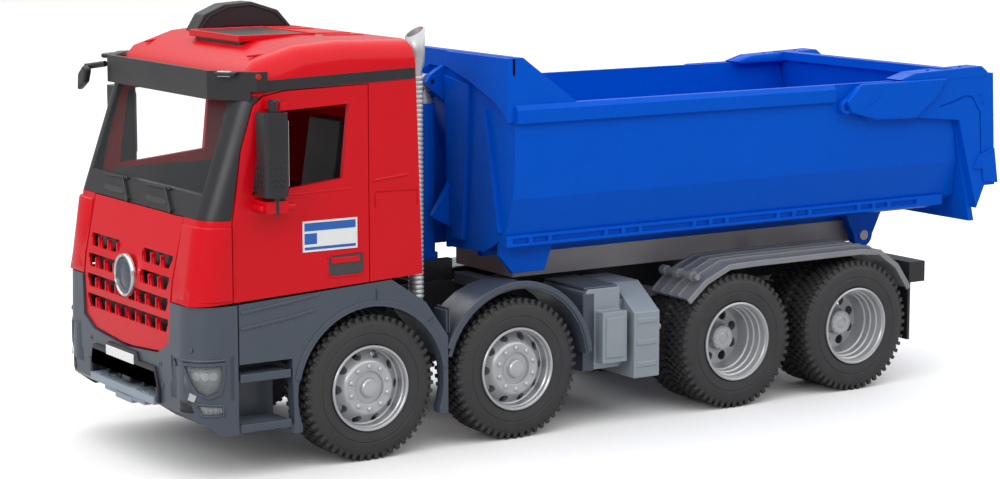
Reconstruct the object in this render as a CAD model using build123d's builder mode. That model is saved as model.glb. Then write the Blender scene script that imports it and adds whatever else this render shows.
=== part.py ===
import os
from math import cos, radians, sin

from build123d import *

# A 1:16 plastic toy tipper with four axles.  Millimetres.  The cab faces -Y, the truck's left side is +X,
# the wheels stand on z = 0 and the origin is under the middle of the whole truck.

# --- overall sizes ---------------------------------------------------------------------------------
TRUCK_LENGTH = 525.0
CAB_WIDTH = 156.0
MIRROR_REACH = 14.5
FRONT_OVERHANG = 102.5
REAR_OVERHANG = 103.5
AXLE_GAP_FRONT = 89.0
AXLE_GAP_REAR = 86.0
RUN_FIT = 0.06
PIECE_GAP = 0.3
HALF_CAB = CAB_WIDTH / 2
FRONT_Y = -TRUCK_LENGTH / 2
REAR_Y = TRUCK_LENGTH / 2
AXLE_1 = FRONT_Y + FRONT_OVERHANG
AXLE_2 = AXLE_1 + AXLE_GAP_FRONT
AXLE_4 = REAR_Y - REAR_OVERHANG
AXLE_3 = AXLE_4 - AXLE_GAP_REAR

# --- wheels ----------------------------------------------------------------------------------------
TYRE_R = 37.5
AXLE_Z = 37.5
RIM_R = 21.8
FRONT_TYRE_WIDTH = 24.0
REAR_TYRE_WIDTH = 40.0
FRONT_TYRE_OUT = HALF_CAB - 1.0
REAR_TYRE_OUT = HALF_CAB + 2.0
SHOULDER = 3.5
STUB_R = 2.45
HUB_BORE_R = STUB_R + 0.05
HUB_WALL = 3.5
RIM_LIP = 2.3

# --- steering --------------------------------------------------------------------------------------
KINGPIN_X = FRONT_TYRE_OUT - FRONT_TYRE_WIDTH - 8.0
KINGPIN_R = 2.0
BEAM_Z = AXLE_Z
BEAM_HALF_HEIGHT = 4.0
LUG_THICK = 2.7
LUG_HALF = 4.2
EYE_R = 4.5
ARM_LENGTH = 14.0
ARM_PIN_R = 1.2
ARM_HOLE_R = ARM_PIN_R + 0.45
TIE_BAR_THICK = 3.0

# --- chassis ---------------------------------------------------------------------------------------
RAIL_X = 20.0
RAIL_THICK = 4.0
RAIL_BOTTOM = 60.0
RAIL_TOP = 77.0
SUBFRAME_HALF = 29.0
SUBFRAME_WALL = 3.0
SUBFRAME_TOP = 90.0
CROSS_MEMBER = 8.0

# --- cab -------------------------------------------------------------------------------------------
CAB_WALL = 3.0
CAB_CORNER_R = 13.0
CAB_REAR = AXLE_1 + 30.0
CAB_SILL_FRONT = 88.0
CAB_SILL_REAR = 94.0
COWL_Z = 129.5
BROW_Z = 189.0
ROOF_FRONT_Z = 205.0
ROOF_CROWN_Z = 214.0
DOOR_GAP = 0.5
DOOR_FRONT = AXLE_1 - 77.5
DOOR_REAR = AXLE_1 - 1.3
DOOR_HINGE_X = HALF_CAB + 0.2
DOOR_HINGE_Y = DOOR_FRONT + 0.3
DOOR_PIN_R = 0.6
HOOD_HALF = 52.0
FLOOR_THICK = 3.0

# --- lower body ------------------------------------------------------------------------------------
BUMPER_REAR = AXLE_1 - 75.5
BUMPER_WALL = 3.0
BUMPER_BOTTOM = 34.0
BUMPER_SIDE_BOTTOM = 23.0
STEP_HALF = 38.0
STEP_THICK = 4.0
COUPLER_X = 22.0
COUPLER_R = 1.8
COUPLER_INSET = 5.0
HITCH_R = 2.5
ARCH_LIP_R = max(TYRE_R, AXLE_Z) + 5.0
ARCH_INNER_R = ARCH_LIP_R + 1.8
ARCH_LIP_X = HALF_CAB - 6.0
ARCH_INNER_X = HALF_CAB - 28.0
FENDER_WALL = 2.0

# --- tipping body ----------------------------------------------------------------------------------
BED_HALF = 77.0
BED_WALL = 3.0
BED_FRONT = CAB_REAR + 57.0
BED_FLOOR_Z = 94.0
RIM_BOTTOM_Z = 167.0
RIM_TOP_Z = 176.5
RIM_OUT = 2.5
HEADBOARD_TOP = 201.0
TILT_PIN_R = 3.0
TILT_PIN_Y = REAR_Y - 65.0
TILT_PIN_Z = 82.0
BRACKET_X = 34.0
BRACKET_THICK = 6.0
TAIL_PIVOT_Y = REAR_Y - 97.5
TAIL_PIVOT_Z = 167.0
TAIL_PIN_R = 2.5
TAIL_TOP = (REAR_Y - 34.0, 181.0)
TAIL_BOTTOM = (REAR_Y - 12.0, 91.0)
TAIL_THICK = 4.0
TAIL_SIDE_X = BED_HALF + 0.6
TAIL_SIDE_THICK = 3.4

# --- tipping ram -----------------------------------------------------------------------------------
RAM_Y = BED_FRONT - 8.5
RAM_FOOT_Z = 82.0
RAM_EYE_Z = 184.0
RAM_TUBE_R = [6.0, 4.9, 3.8, 2.7]
RAM_TUBE_WALL = 1.0
RAM_GAP = 0.05
POCKET_HALF = 9.0
POCKET_DEPTH = 25.0


def side_slab(outline, x_from, x_to, mode=Mode.ADD):
    """A side-view outline (y, z) made solid from one x to another."""
    with BuildSketch(Plane.YZ.offset(x_from)) as face:
        with BuildLine():
            Polyline(*outline, close=True)
        make_face()
    extrude(face.sketch, amount=x_to - x_from, mode=mode)


def front_slab(outline, y_from, y_to, mode=Mode.ADD):
    """A front-view outline (x, z) made solid from one y to another."""
    plane = Plane(origin=(0, y_from, 0), x_dir=(1, 0, 0), z_dir=(0, -1, 0))
    with BuildSketch(plane) as face:
        with BuildLine():
            Polyline(*outline, close=True)
        make_face()
    extrude(face.sketch, amount=y_from - y_to, mode=mode)


def block(x_from, x_to, y_from, y_to, z_from, z_to, mode=Mode.ADD):
    """A box given by its six sides."""
    centre = ((x_from + x_to) / 2, (y_from + y_to) / 2, (z_from + z_to) / 2)
    with Locations(centre):
        Box(x_to - x_from, y_to - y_from, z_to - z_from, mode=mode)


def rod_x(radius, x_from, x_to, y, z, mode=Mode.ADD):
    """A round rod or bore along X."""
    with Locations(((x_from + x_to) / 2, y, z)):
        Cylinder(radius, x_to - x_from, rotation=(0, 90, 0), mode=mode)


def rod_z(radius, z_from, z_to, x, y, mode=Mode.ADD):
    """A round rod or bore along Z."""
    with Locations((x, y, (z_from + z_to) / 2)):
        Cylinder(radius, z_to - z_from, mode=mode)


def spin_profile(outline, y):
    """A profile of (x, radius) points turned about a wheel's axle line."""
    plane = Plane(origin=(0, y, AXLE_Z), x_dir=(1, 0, 0), z_dir=(0, -1, 0))
    with BuildSketch(plane) as face:
        with BuildLine():
            Polyline(*outline, close=True)
        make_face()
    revolve(face.sketch, axis=Axis((0, y, AXLE_Z), (1, 0, 0)))


def save(piece, name):
    """Writes a piece, set so that the wheels stand on z = 0 whatever the tyres measure."""
    placed = piece.part.moved(Location((0, 0, TYRE_R - AXLE_Z)))
    placed.label = name
    export_step(placed, f"parts/{name}.step")


# --- wheels ----------------------------------------------------------------------------------------
def side_points(points, side):
    return [(side * x, r) for x, r in points]


def build_tyre(name, y, side, out, width, twin):
    inner = out - width
    crown = TYRE_R - SHOULDER
    outline = [(inner, RIM_R + 1.5), (inner, crown), (inner + SHOULDER, TYRE_R)]
    if twin:
        middle = (inner + out) / 2
        outline += [(middle - 3, TYRE_R), (middle, TYRE_R - 8), (middle + 3, TYRE_R)]
    outline += [(out - SHOULDER, TYRE_R), (out, crown), (out, RIM_R + 1.5), (out - 2, RIM_R + 0.05),
                (inner + 2, RIM_R + 0.05)]
    with BuildPart() as tyre:
        spin_profile(side_points(outline, side), y)
    save(tyre, name)


def build_front_rim(name, y, side):
    out = FRONT_TYRE_OUT
    inner = out - FRONT_TYRE_WIDTH + 1.0
    disc = out - 9.0
    outline = [(disc, 0), (out - 1.5, 0), (out - 1.5, 3), (out - 3, 7), (out - 4.5, 8), (out - 4.5, 12.5),
               (disc, RIM_R - RIM_LIP), (out, RIM_R - RIM_LIP), (out, RIM_R), (inner, RIM_R),
               (inner, RIM_R - RIM_LIP), (disc - 3, RIM_R - RIM_LIP), (disc - 3, HUB_BORE_R + HUB_WALL),
               (inner, HUB_BORE_R + HUB_WALL), (inner, HUB_BORE_R), (disc, HUB_BORE_R)]
    with BuildPart() as rim:
        spin_profile(side_points(outline, side), y)
        centre = Plane(origin=(side * (disc - 1.5), y, AXLE_Z), x_dir=(0, 1, 0), z_dir=(1, 0, 0))
        with Locations(centre):
            with PolarLocations(15.6, 10):
                Cylinder(2.2, 14, mode=Mode.SUBTRACT)
    save(rim, name)


def build_rear_rim(name, y, side):
    out = REAR_TYRE_OUT
    inner = out - REAR_TYRE_WIDTH + 1.0
    disc = out - 21.0
    outline = [(out - 12, 0), (out - 12, 6), (disc + 3, 7.5), (disc, RIM_R - 5.5), (disc + 6, RIM_R - 4.5),
               (disc + 6, RIM_R - 3.6), (out - 6, RIM_R - 3.2), (out - 6, RIM_R - RIM_LIP),
               (out, RIM_R - RIM_LIP), (out, RIM_R), (inner, RIM_R), (inner, RIM_R - RIM_LIP),
               (disc - 3, RIM_R - RIM_LIP), (disc - 3, HUB_BORE_R + HUB_WALL),
               (inner, HUB_BORE_R + HUB_WALL), (inner, HUB_BORE_R), (out - 17, HUB_BORE_R), (out - 17, 0)]
    with BuildPart() as rim:
        spin_profile(side_points(outline, side), y)
        centre = Plane(origin=(side * (disc - 1.5), y, AXLE_Z), x_dir=(0, 1, 0), z_dir=(1, 0, 0))
        with Locations(centre):
            with PolarLocations(12.0, 8):
                Cylinder(2.1, 14, mode=Mode.SUBTRACT)
    save(rim, name)


# --- steering --------------------------------------------------------------------------------------
LUG_TOP = BEAM_Z + BEAM_HALF_HEIGHT + PIECE_GAP
LUG_BOTTOM = BEAM_Z - BEAM_HALF_HEIGHT - PIECE_GAP
WEB_X = KINGPIN_X + EYE_R + 0.5
WEB_THICK = 2.2
TIE_BAR_TOP = LUG_BOTTOM - LUG_THICK - PIECE_GAP


def build_knuckle(name, y, side):
    with BuildPart() as knuckle:
        for low, high in ((LUG_TOP, LUG_TOP + LUG_THICK), (LUG_BOTTOM - LUG_THICK, LUG_BOTTOM)):
            block(KINGPIN_X, WEB_X + WEB_THICK, y - LUG_HALF, y + LUG_HALF, low, high)
            rod_z(LUG_HALF, low, high, KINGPIN_X, y)
        block(WEB_X, WEB_X + WEB_THICK, y - LUG_HALF, y + LUG_HALF, LUG_BOTTOM - LUG_THICK, LUG_TOP + LUG_THICK)
        rod_z(KINGPIN_R, LUG_BOTTOM - LUG_THICK, LUG_TOP + LUG_THICK, KINGPIN_X, y)
        block(KINGPIN_X - 2.5, KINGPIN_X + 2.5, y, y + ARM_LENGTH, LUG_BOTTOM - LUG_THICK, LUG_BOTTOM)
        rod_z(2.5, LUG_BOTTOM - LUG_THICK, LUG_BOTTOM, KINGPIN_X, y + ARM_LENGTH)
        rod_z(ARM_PIN_R, TIE_BAR_TOP - TIE_BAR_THICK, LUG_BOTTOM - 1, KINGPIN_X, y + ARM_LENGTH)
        rod_x(STUB_R, WEB_X, FRONT_TYRE_OUT - 10.0, y, BEAM_Z)
        if side < 0:
            mirror(knuckle.part, about=Plane.YZ, mode=Mode.REPLACE)
    save(knuckle, name)


def build_tie_rod(name, y):
    with BuildPart() as rod:
        low = TIE_BAR_TOP - TIE_BAR_THICK
        block(-KINGPIN_X, KINGPIN_X, y + ARM_LENGTH - 1.8, y + ARM_LENGTH + 1.8, low, TIE_BAR_TOP)
        for x in (-KINGPIN_X, KINGPIN_X):
            rod_z(3.4, low, TIE_BAR_TOP, x, y + ARM_LENGTH)
        for x in (-KINGPIN_X, KINGPIN_X):
            rod_z(ARM_HOLE_R, low - 1, TIE_BAR_TOP + 1, x, y + ARM_LENGTH, mode=Mode.SUBTRACT)
    save(rod, name)


def build_front_axles():
    with BuildPart() as axles:
        for y in (AXLE_1, AXLE_2):
            low = BEAM_Z - BEAM_HALF_HEIGHT
            high = BEAM_Z + BEAM_HALF_HEIGHT
            block(-KINGPIN_X, KINGPIN_X, y - 3, y + 3, low, high)
            for x in (-KINGPIN_X, KINGPIN_X):
                rod_z(EYE_R, low, high, x, y)
            for x in (-RAIL_X + RAIL_THICK / 2, RAIL_X - RAIL_THICK / 2):
                front_post = [(y - 26, RAIL_BOTTOM), (y - 26, RAIL_BOTTOM - 3), (y - 5, high - 3),
                              (y + 5, high - 3), (y + 26, RAIL_BOTTOM - 3), (y + 26, RAIL_BOTTOM),
                              (y + 22, RAIL_BOTTOM), (y + 4, high + 3), (y - 4, high + 3),
                              (y - 22, RAIL_BOTTOM)]
                side_slab(front_post, x - 3, x + 3)
                block(x - 3, x + 3, y - 3, y + 3, high - 1, RAIL_BOTTOM)
            for x in (-KINGPIN_X, KINGPIN_X):
                rod_z(KINGPIN_R + RUN_FIT, low - 1, high + 1, x, y, mode=Mode.SUBTRACT)
    save(axles, "front_axles")


def build_rear_axles():
    inner = REAR_TYRE_OUT - REAR_TYRE_WIDTH
    with BuildPart() as axles:
        for y in (AXLE_3, AXLE_4):
            rod_x(5, -inner + 1, inner - 1, y, AXLE_Z)
            rod_x(STUB_R, -REAR_TYRE_OUT + 18, REAR_TYRE_OUT - 18, y, AXLE_Z)
            rod_x(13, -9, 9, y, AXLE_Z)
            for x in (-RAIL_X + RAIL_THICK / 2, RAIL_X - RAIL_THICK / 2):
                block(x - 3, x + 3, y - 4, y + 4, AXLE_Z, RAIL_BOTTOM - 6)
        spring_low = RAIL_BOTTOM - 12
        middle = (AXLE_3 + AXLE_4) / 2
        for x in (-RAIL_X + RAIL_THICK / 2, RAIL_X - RAIL_THICK / 2):
            side_slab([(AXLE_3 - 8, spring_low), (middle, spring_low + 5), (AXLE_4 + 8, spring_low),
                       (AXLE_4 + 8, spring_low + 4), (middle + 8, RAIL_BOTTOM), (middle - 8, RAIL_BOTTOM),
                       (AXLE_3 - 8, spring_low + 4)], x - 4, x + 4)
    save(axles, "rear_axles")


# --- chassis ---------------------------------------------------------------------------------------
def build_chassis():
    front = FRONT_Y + 14
    rear = AXLE_4 + 40
    with BuildPart() as frame:
        for x in (-RAIL_X, RAIL_X - RAIL_THICK):
            block(x, x + RAIL_THICK, front, rear, RAIL_BOTTOM, RAIL_TOP)
        spots = (front + 4, AXLE_1, AXLE_2, CAB_REAR + 20, AXLE_3 - 70, AXLE_3, AXLE_4, rear - 4)
        for y in spots:
            block(-RAIL_X, RAIL_X, y - CROSS_MEMBER / 2, y + CROSS_MEMBER / 2, RAIL_BOTTOM + 4, RAIL_TOP - 2)
        block(-RAIL_X, RAIL_X, RAM_Y - 14, RAM_Y - 10, RAIL_BOTTOM, RAIL_TOP)
        for x_from, x_to in ((-13, -8), (8, 13)):
            block(x_from, x_to, RAM_Y - 10, RAM_Y + 10, RAIL_BOTTOM + 6, RAM_FOOT_Z + 6)
        block(-RAIL_X, -8, RAM_Y - 4, RAM_Y + 4, RAIL_BOTTOM + 6, RAIL_TOP)
        block(8, RAIL_X, RAM_Y - 4, RAM_Y + 4, RAIL_BOTTOM + 6, RAIL_TOP)
        rod_x(2.5, -13, 13, RAM_Y, RAM_FOOT_Z)
    save(frame, "chassis_frame")


def build_subframe():
    front = BED_FRONT + 30
    rear = TILT_PIN_Y + 5
    with BuildPart() as subframe:
        block(-SUBFRAME_HALF, SUBFRAME_HALF, front, rear, RAIL_TOP, SUBFRAME_TOP)
        block(-SUBFRAME_HALF + SUBFRAME_WALL, SUBFRAME_HALF - SUBFRAME_WALL, front + SUBFRAME_WALL,
              rear - SUBFRAME_WALL, RAIL_TOP + SUBFRAME_WALL, SUBFRAME_TOP + 1, mode=Mode.SUBTRACT)
        block(-SUBFRAME_HALF - 1, SUBFRAME_HALF + 1, TILT_PIN_Y, rear + 1, TILT_PIN_Z + 4, SUBFRAME_TOP + 1,
              mode=Mode.SUBTRACT)
        rod_x(TILT_PIN_R, -BRACKET_X - BRACKET_THICK - 1, BRACKET_X + BRACKET_THICK + 1, TILT_PIN_Y, TILT_PIN_Z)
        rod_x(TILT_PIN_R + 1.4, -BRACKET_X + PIECE_GAP, BRACKET_X - PIECE_GAP, TILT_PIN_Y, TILT_PIN_Z)
    save(subframe, "subframe")


# --- cab -------------------------------------------------------------------------------------------
def cab_outline(sill_drop=0.0):
    """Side view of the cab, from the sill up over the windscreen and the roof."""
    return [(AXLE_1 - 98.5, CAB_SILL_FRONT - sill_drop), (AXLE_1 - 97.5, 98), (AXLE_1 - 91, COWL_Z),
            (AXLE_1 - 67.5, 197), (AXLE_1 - 60, ROOF_FRONT_Z), (AXLE_1 - 38, ROOF_CROWN_Z - 2),
            (AXLE_1 - 15, ROOF_CROWN_Z), (CAB_REAR - 4, ROOF_CROWN_Z - 1), (CAB_REAR, CAB_SILL_REAR - sill_drop)]


def cab_solid(inset, sill_drop=0.0):
    """The cab's body shape, shrunk by inset all round."""
    with BuildPart(mode=Mode.PRIVATE) as solid:
        with BuildSketch(Plane.YZ) as face:
            with BuildLine():
                Polyline(*cab_outline(sill_drop), close=True)
            make_face()
            if inset > 0:
                offset(amount=-inset, kind=Kind.INTERSECTION, mode=Mode.REPLACE)
        half = HALF_CAB - inset
        extrude(face.sketch, amount=half, both=True)
        edges = solid.edges().filter_by(lambda e: abs(abs(e.center().X) - half) < 0.01)
        edges = edges.filter_by(lambda e: e.center().Z > CAB_SILL_REAR and e.center().Y < CAB_REAR - 3.5 - inset)
        fillet(edges, CAB_CORNER_R - inset)
    return solid.part


OUTER = cab_solid(0)
INNER = cab_solid(CAB_WALL, 12.0)


def door_outline(gap):
    """Side view of a door; gap grows it all round."""
    sill = CAB_SILL_FRONT + (CAB_SILL_REAR - CAB_SILL_FRONT) * 0.2 - 4
    return [(DOOR_FRONT - gap, sill - 10), (DOOR_FRONT - gap, 128), (DOOR_FRONT + 6 - gap, 163),
            (DOOR_FRONT + 13 - gap, 184.4), (DOOR_FRONT + 18 - gap, 188.9 + gap),
            (DOOR_FRONT + 30 - gap, 191 + gap), (DOOR_REAR + gap, 192 + gap), (DOOR_REAR + gap, sill - 10)]


def build_cab_shell():
    with BuildPart() as shell:
        add(OUTER)
        add(INNER, mode=Mode.SUBTRACT)
        for x_from, x_to in ((HALF_CAB - 25, HALF_CAB + 5), (-HALF_CAB - 5, -HALF_CAB + 25)):
            side_slab(door_outline(DOOR_GAP), x_from, x_to, mode=Mode.SUBTRACT)
        surround = [(FRONT_Y - 5, COWL_Z), (DOOR_FRONT - DOOR_GAP, COWL_Z), (DOOR_FRONT + 6, 163),
                    (DOOR_FRONT + 13, 184.4), (DOOR_FRONT + 18, BROW_Z), (FRONT_Y - 5, BROW_Z)]
        side_slab(surround, -HALF_CAB - 5, HALF_CAB + 5, mode=Mode.SUBTRACT)
        front_slab([(-HOOD_HALF - 0.4, 80), (HOOD_HALF + 0.4, 80), (HOOD_HALF + 0.4, COWL_Z + 1),
                    (-HOOD_HALF - 0.4, COWL_Z + 1)], FRONT_Y - 5, AXLE_1 - 85, mode=Mode.SUBTRACT)
        block(-26, 26, AXLE_1 - 45, AXLE_1 - 5, ROOF_CROWN_Z - 8, ROOF_CROWN_Z + 5, mode=Mode.SUBTRACT)
    save(shell, "cab_shell")


def build_windscreen_surround():
    glass = [(-64, 141), (64, 141), (63, 187), (-63, 187)]
    zone = [(FRONT_Y - 5, COWL_Z + 0.1), (DOOR_FRONT - DOOR_GAP, COWL_Z + 0.1), (DOOR_FRONT + 5.5, 163),
            (DOOR_FRONT + 12.5, 184.4), (DOOR_FRONT + 17, BROW_Z - 0.1), (FRONT_Y - 5, BROW_Z - 0.1)]
    with BuildPart() as surround:
        add(OUTER)
        add(INNER, mode=Mode.SUBTRACT)
        side_slab(zone, -HALF_CAB - 5, HALF_CAB + 5, mode=Mode.INTERSECT)
        front_slab(glass, FRONT_Y, AXLE_1 - 62, mode=Mode.SUBTRACT)
    save(surround, "windscreen_surround")
    with BuildPart() as screen:
        add(OUTER)
        add(INNER, mode=Mode.SUBTRACT)
        front_slab(glass, FRONT_Y, AXLE_1 - 62, mode=Mode.INTERSECT)
    save(screen, "windscreen")


def build_door(name, side):
    window = [(AXLE_1 - 66.5, 141), (AXLE_1 - 60.5, 181), (AXLE_1 - 12, 183), (AXLE_1 - 16, 146)]
    with BuildPart() as door:
        add(OUTER)
        add(INNER, mode=Mode.SUBTRACT)
        side_slab(door_outline(0), HALF_CAB - 20, HALF_CAB + 5, mode=Mode.INTERSECT)
        side_slab(window, HALF_CAB - 25, HALF_CAB + 5, mode=Mode.SUBTRACT)
        for low in (92, 116):
            rod_z(DOOR_PIN_R, low, low + 10, DOOR_HINGE_X, DOOR_HINGE_Y)
        # brackets that carry the mirror
        for low, high, y_from in ((133, 139, -65), (183, 187, -59)):
            block(HALF_CAB - 1, HALF_CAB + 12, AXLE_1 + y_from, AXLE_1 - 53, low, high)
        if side < 0:
            mirror(door.part, about=Plane.YZ, mode=Mode.REPLACE)
    save(door, name)


def build_mirror(name, side):
    out = HALF_CAB + MIRROR_REACH
    with BuildPart() as housing:
        block(out - 13, out, AXLE_1 - 66, AXLE_1 - 53, 141, 182)
        fillet(housing.edges().filter_by(Axis.Z), 3)
        block(out - 8, out - 4, AXLE_1 - 58, AXLE_1 - 54, 139, 183)
        if side < 0:
            mirror(housing.part, about=Plane.YZ, mode=Mode.REPLACE)
    save(housing, name)


def build_front_panel():
    face = [(AXLE_1 - 98.5, 58), (AXLE_1 - 98.5, CAB_SILL_FRONT), (AXLE_1 - 97.5, 98), (AXLE_1 - 91, COWL_Z - 0.4),
            (AXLE_1 - 88, COWL_Z - 0.4), (AXLE_1 - 94.5, 98), (AXLE_1 - 95.5, CAB_SILL_FRONT), (AXLE_1 - 95.5, 58)]
    shield = [(-HOOD_HALF, COWL_Z), (HOOD_HALF, COWL_Z), (HOOD_HALF - 2, 67), (38, 61), (0, 58), (-38, 61),
              (-HOOD_HALF + 2, 67)]
    with BuildPart() as panel:
        side_slab(face, -HOOD_HALF, HOOD_HALF)
        front_slab(shield, FRONT_Y - 5, AXLE_1 - 80, mode=Mode.INTERSECT)
        for low, inner in ((103, 14), (92.5, 16), (82, 0), (71.5, 0)):
            for bay in range(6):
                x = 1.2 + bay * 7.8
                if x >= inner:
                    for x_from, x_to in ((x, x + 5.6), (-x - 5.6, -x)):
                        block(x_from, x_to, AXLE_1 - 105, AXLE_1 - 85, low, low + 5, mode=Mode.SUBTRACT)
    save(panel, "front_panel")
    with BuildPart() as backing:
        block(-HOOD_HALF + 7, HOOD_HALF - 7, AXLE_1 - 91.9, AXLE_1 - 89.9, 68, 109)
    save(backing, "grille_backing")


def build_visor():
    front = AXLE_1 - 80
    with BuildPart() as visor:
        with BuildSketch(Plane.XY.offset(187)) as band:
            with BuildLine():
                Polyline((-HALF_CAB - 1.5, AXLE_1 - 58), (-HALF_CAB - 1.5, AXLE_1 - 64), (-58, front),
                         (58, front), (HALF_CAB + 1.5, AXLE_1 - 64), (HALF_CAB + 1.5, AXLE_1 - 58),
                         (HALF_CAB + 0.3, AXLE_1 - 58), (55, front + 3), (-55, front + 3),
                         (-HALF_CAB - 0.3, AXLE_1 - 58), close=True)
            make_face()
        extrude(band.sketch, amount=14)
        for x in (-50, 0, 50):
            block(x - 3, x + 3, front + 2, AXLE_1 - 66, 191, 196)
        # the doors swing under the visor's ends
        for x_from, x_to in ((HALF_CAB - 8, HALF_CAB + 5), (-HALF_CAB - 5, -HALF_CAB + 8)):
            block(x_from, x_to, AXLE_1 - 66, AXLE_1 - 55, 186, 191.5, mode=Mode.SUBTRACT)
        add(OUTER, mode=Mode.SUBTRACT)
    save(visor, "sun_visor")


def build_roof_pieces():
    with BuildPart() as hatch:
        block(-25.6, 25.6, AXLE_1 - 44.6, AXLE_1 - 5.4, ROOF_CROWN_Z - 5, ROOF_CROWN_Z - 2)
    save(hatch, "roof_hatch")
    with BuildPart() as intake:
        side_slab([(AXLE_1 - 37, ROOF_CROWN_Z - 4), (AXLE_1 - 30, ROOF_CROWN_Z + 7), (AXLE_1 - 18, ROOF_CROWN_Z + 12),
                   (AXLE_1 - 2, ROOF_CROWN_Z + 13), (AXLE_1 + 14, ROOF_CROWN_Z + 8), (AXLE_1 + 25, ROOF_CROWN_Z - 4)],
                  -56, -44)
        add(OUTER, mode=Mode.SUBTRACT)
    save(intake, "air_intake")
    with BuildPart() as stack:
        rod_z(4.5, RAIL_TOP, 208, 60, CAB_REAR + 7)
        with Locations((60, CAB_REAR + 7, 212)):
            Cylinder(5, 12)
        rod_z(3.5, 195, 219, 60, CAB_REAR + 7, mode=Mode.SUBTRACT)
        block(RAIL_X, 60, CAB_REAR + 5, CAB_REAR + 9, RAIL_TOP - 6, RAIL_TOP + 2)
    save(stack, "exhaust_stack")


def build_cab_inside():
    inner = HALF_CAB - CAB_WALL - 0.2
    with BuildPart() as floor:
        block(-inner, inner, AXLE_1 - 81, CAB_REAR - CAB_WALL - 0.5, CAB_SILL_REAR, CAB_SILL_REAR + FLOOR_THICK)
        for x in (-17, 17):
            block(x - 4, x + 4, AXLE_1 - 80, AXLE_1 + 20, RAIL_TOP, CAB_SILL_REAR)
    save(floor, "cab_floor")
    with BuildPart() as seats:
        for x in (-38, 38):
            side_slab([(AXLE_1 - 40, CAB_SILL_REAR + FLOOR_THICK), (AXLE_1 - 42, 122), (AXLE_1 - 12, 120),
                       (AXLE_1 - 4, 172), (AXLE_1 + 6, 172), (AXLE_1 + 2, CAB_SILL_REAR + FLOOR_THICK)],
                      x - 16, x + 16)
    save(seats, "seats")
    with BuildPart() as dash:
        side_slab([(AXLE_1 - 86, CAB_SILL_REAR + FLOOR_THICK), (AXLE_1 - 86, 124), (AXLE_1 - 78, 134),
                   (AXLE_1 - 60, 134), (AXLE_1 - 58, 122), (AXLE_1 - 72, CAB_SILL_REAR + FLOOR_THICK)],
                  -inner + 5, inner - 5)
        wheel_plane = Plane(origin=(38, AXLE_1 - 50, 138), x_dir=(1, 0, 0), z_dir=(0, 0.7, 1))
        with Locations(wheel_plane):
            Torus(11, 1.2)
            Box(22, 3, 1.6)
            with Locations((0, 0, -9)):
                Cylinder(1.6, 18)
    save(dash, "dashboard")


# --- lower body ------------------------------------------------------------------------------------
def headlight_outline(side, inset):
    return [(side * (54 + inset), 42 + inset), (side * (54 + inset), 62 - inset),
            (side * (71 - inset), 60 - inset), (side * (69 - inset), 44 + inset)]


def build_bumper():
    outline = [(AXLE_1 - 99.5, BUMPER_BOTTOM), (FRONT_Y + 2.5, 60), (FRONT_Y + 3.2, 87.6), (BUMPER_REAR, 87.6),
               (BUMPER_REAR, BUMPER_SIDE_BOTTOM), (BUMPER_REAR - 8, BUMPER_SIDE_BOTTOM)]
    with BuildPart() as bumper:
        with BuildSketch(Plane.YZ) as face:
            with BuildLine():
                Polyline(*outline, close=True)
            make_face()
        extrude(face.sketch, amount=HALF_CAB, both=True)
        edges = bumper.edges().filter_by(lambda e: abs(abs(e.center().X) - HALF_CAB) < 0.01)
        edges = edges.filter_by(lambda e: e.center().Y < BUMPER_REAR - 12 and 36 < e.center().Z < 87)
        fillet(edges, 16)
        block(-HALF_CAB + BUMPER_WALL, HALF_CAB - BUMPER_WALL, AXLE_1 - 94 + BUMPER_WALL, BUMPER_REAR + 5, 20, 90,
              mode=Mode.SUBTRACT)
        front_slab([(-HOOD_HALF - 0.5, 90), (-HOOD_HALF + 1.5, 66.5), (-38, 60.4), (0, 57.4), (38, 60.4),
                    (HOOD_HALF - 1.5, 66.5), (HOOD_HALF + 0.5, 90)], FRONT_Y - 5, AXLE_1 - 85, mode=Mode.SUBTRACT)
        front_slab([(-STEP_HALF - 0.5, 20), (STEP_HALF + 0.5, 20), (STEP_HALF + 0.5, 42), (STEP_HALF - 2, 52),
                    (-STEP_HALF + 2, 52), (-STEP_HALF - 0.5, 42)], FRONT_Y - 5, AXLE_1 - 85, mode=Mode.SUBTRACT)
        for side in (-1, 1):
            front_slab(headlight_outline(side, 0.0), FRONT_Y - 5, AXLE_1 - 85, mode=Mode.SUBTRACT)
    save(bumper, "bumper")


def build_front_step():
    with BuildPart() as step:
        block(-STEP_HALF, STEP_HALF, FRONT_Y, AXLE_1 - 86, BUMPER_BOTTOM, BUMPER_BOTTOM + STEP_THICK)
        block(-RAIL_X, RAIL_X, AXLE_1 - 90.5, AXLE_1 - 84, BUMPER_BOTTOM, RAIL_BOTTOM)
        for x in (-COUPLER_X, COUPLER_X):
            rod_z(COUPLER_R, BUMPER_BOTTOM - 1, BUMPER_BOTTOM + STEP_THICK + 1, x, FRONT_Y + COUPLER_INSET,
                  mode=Mode.SUBTRACT)
    save(step, "front_step")


def build_headlights():
    with BuildPart() as lights:
        for side in (-1, 1):
            front_slab(headlight_outline(side, 0.25), AXLE_1 - 96, AXLE_1 - 92)
    save(lights, "headlights")


def arch(centre_y, radius, x_from, x_to, start, end, wall):
    """A curved mudguard strip round a wheel, from one angle to another above the rear horizontal."""
    points_out = []
    points_in = []
    steps = 14
    for i in range(steps + 1):
        a = radians(start + (end - start) * i / steps)
        points_out.append((centre_y + (radius + wall) * cos(a), AXLE_Z + (radius + wall) * sin(a)))
        points_in.append((centre_y + radius * cos(a), AXLE_Z + radius * sin(a)))
    side_slab(points_out + points_in[::-1], x_from, x_to)


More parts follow.
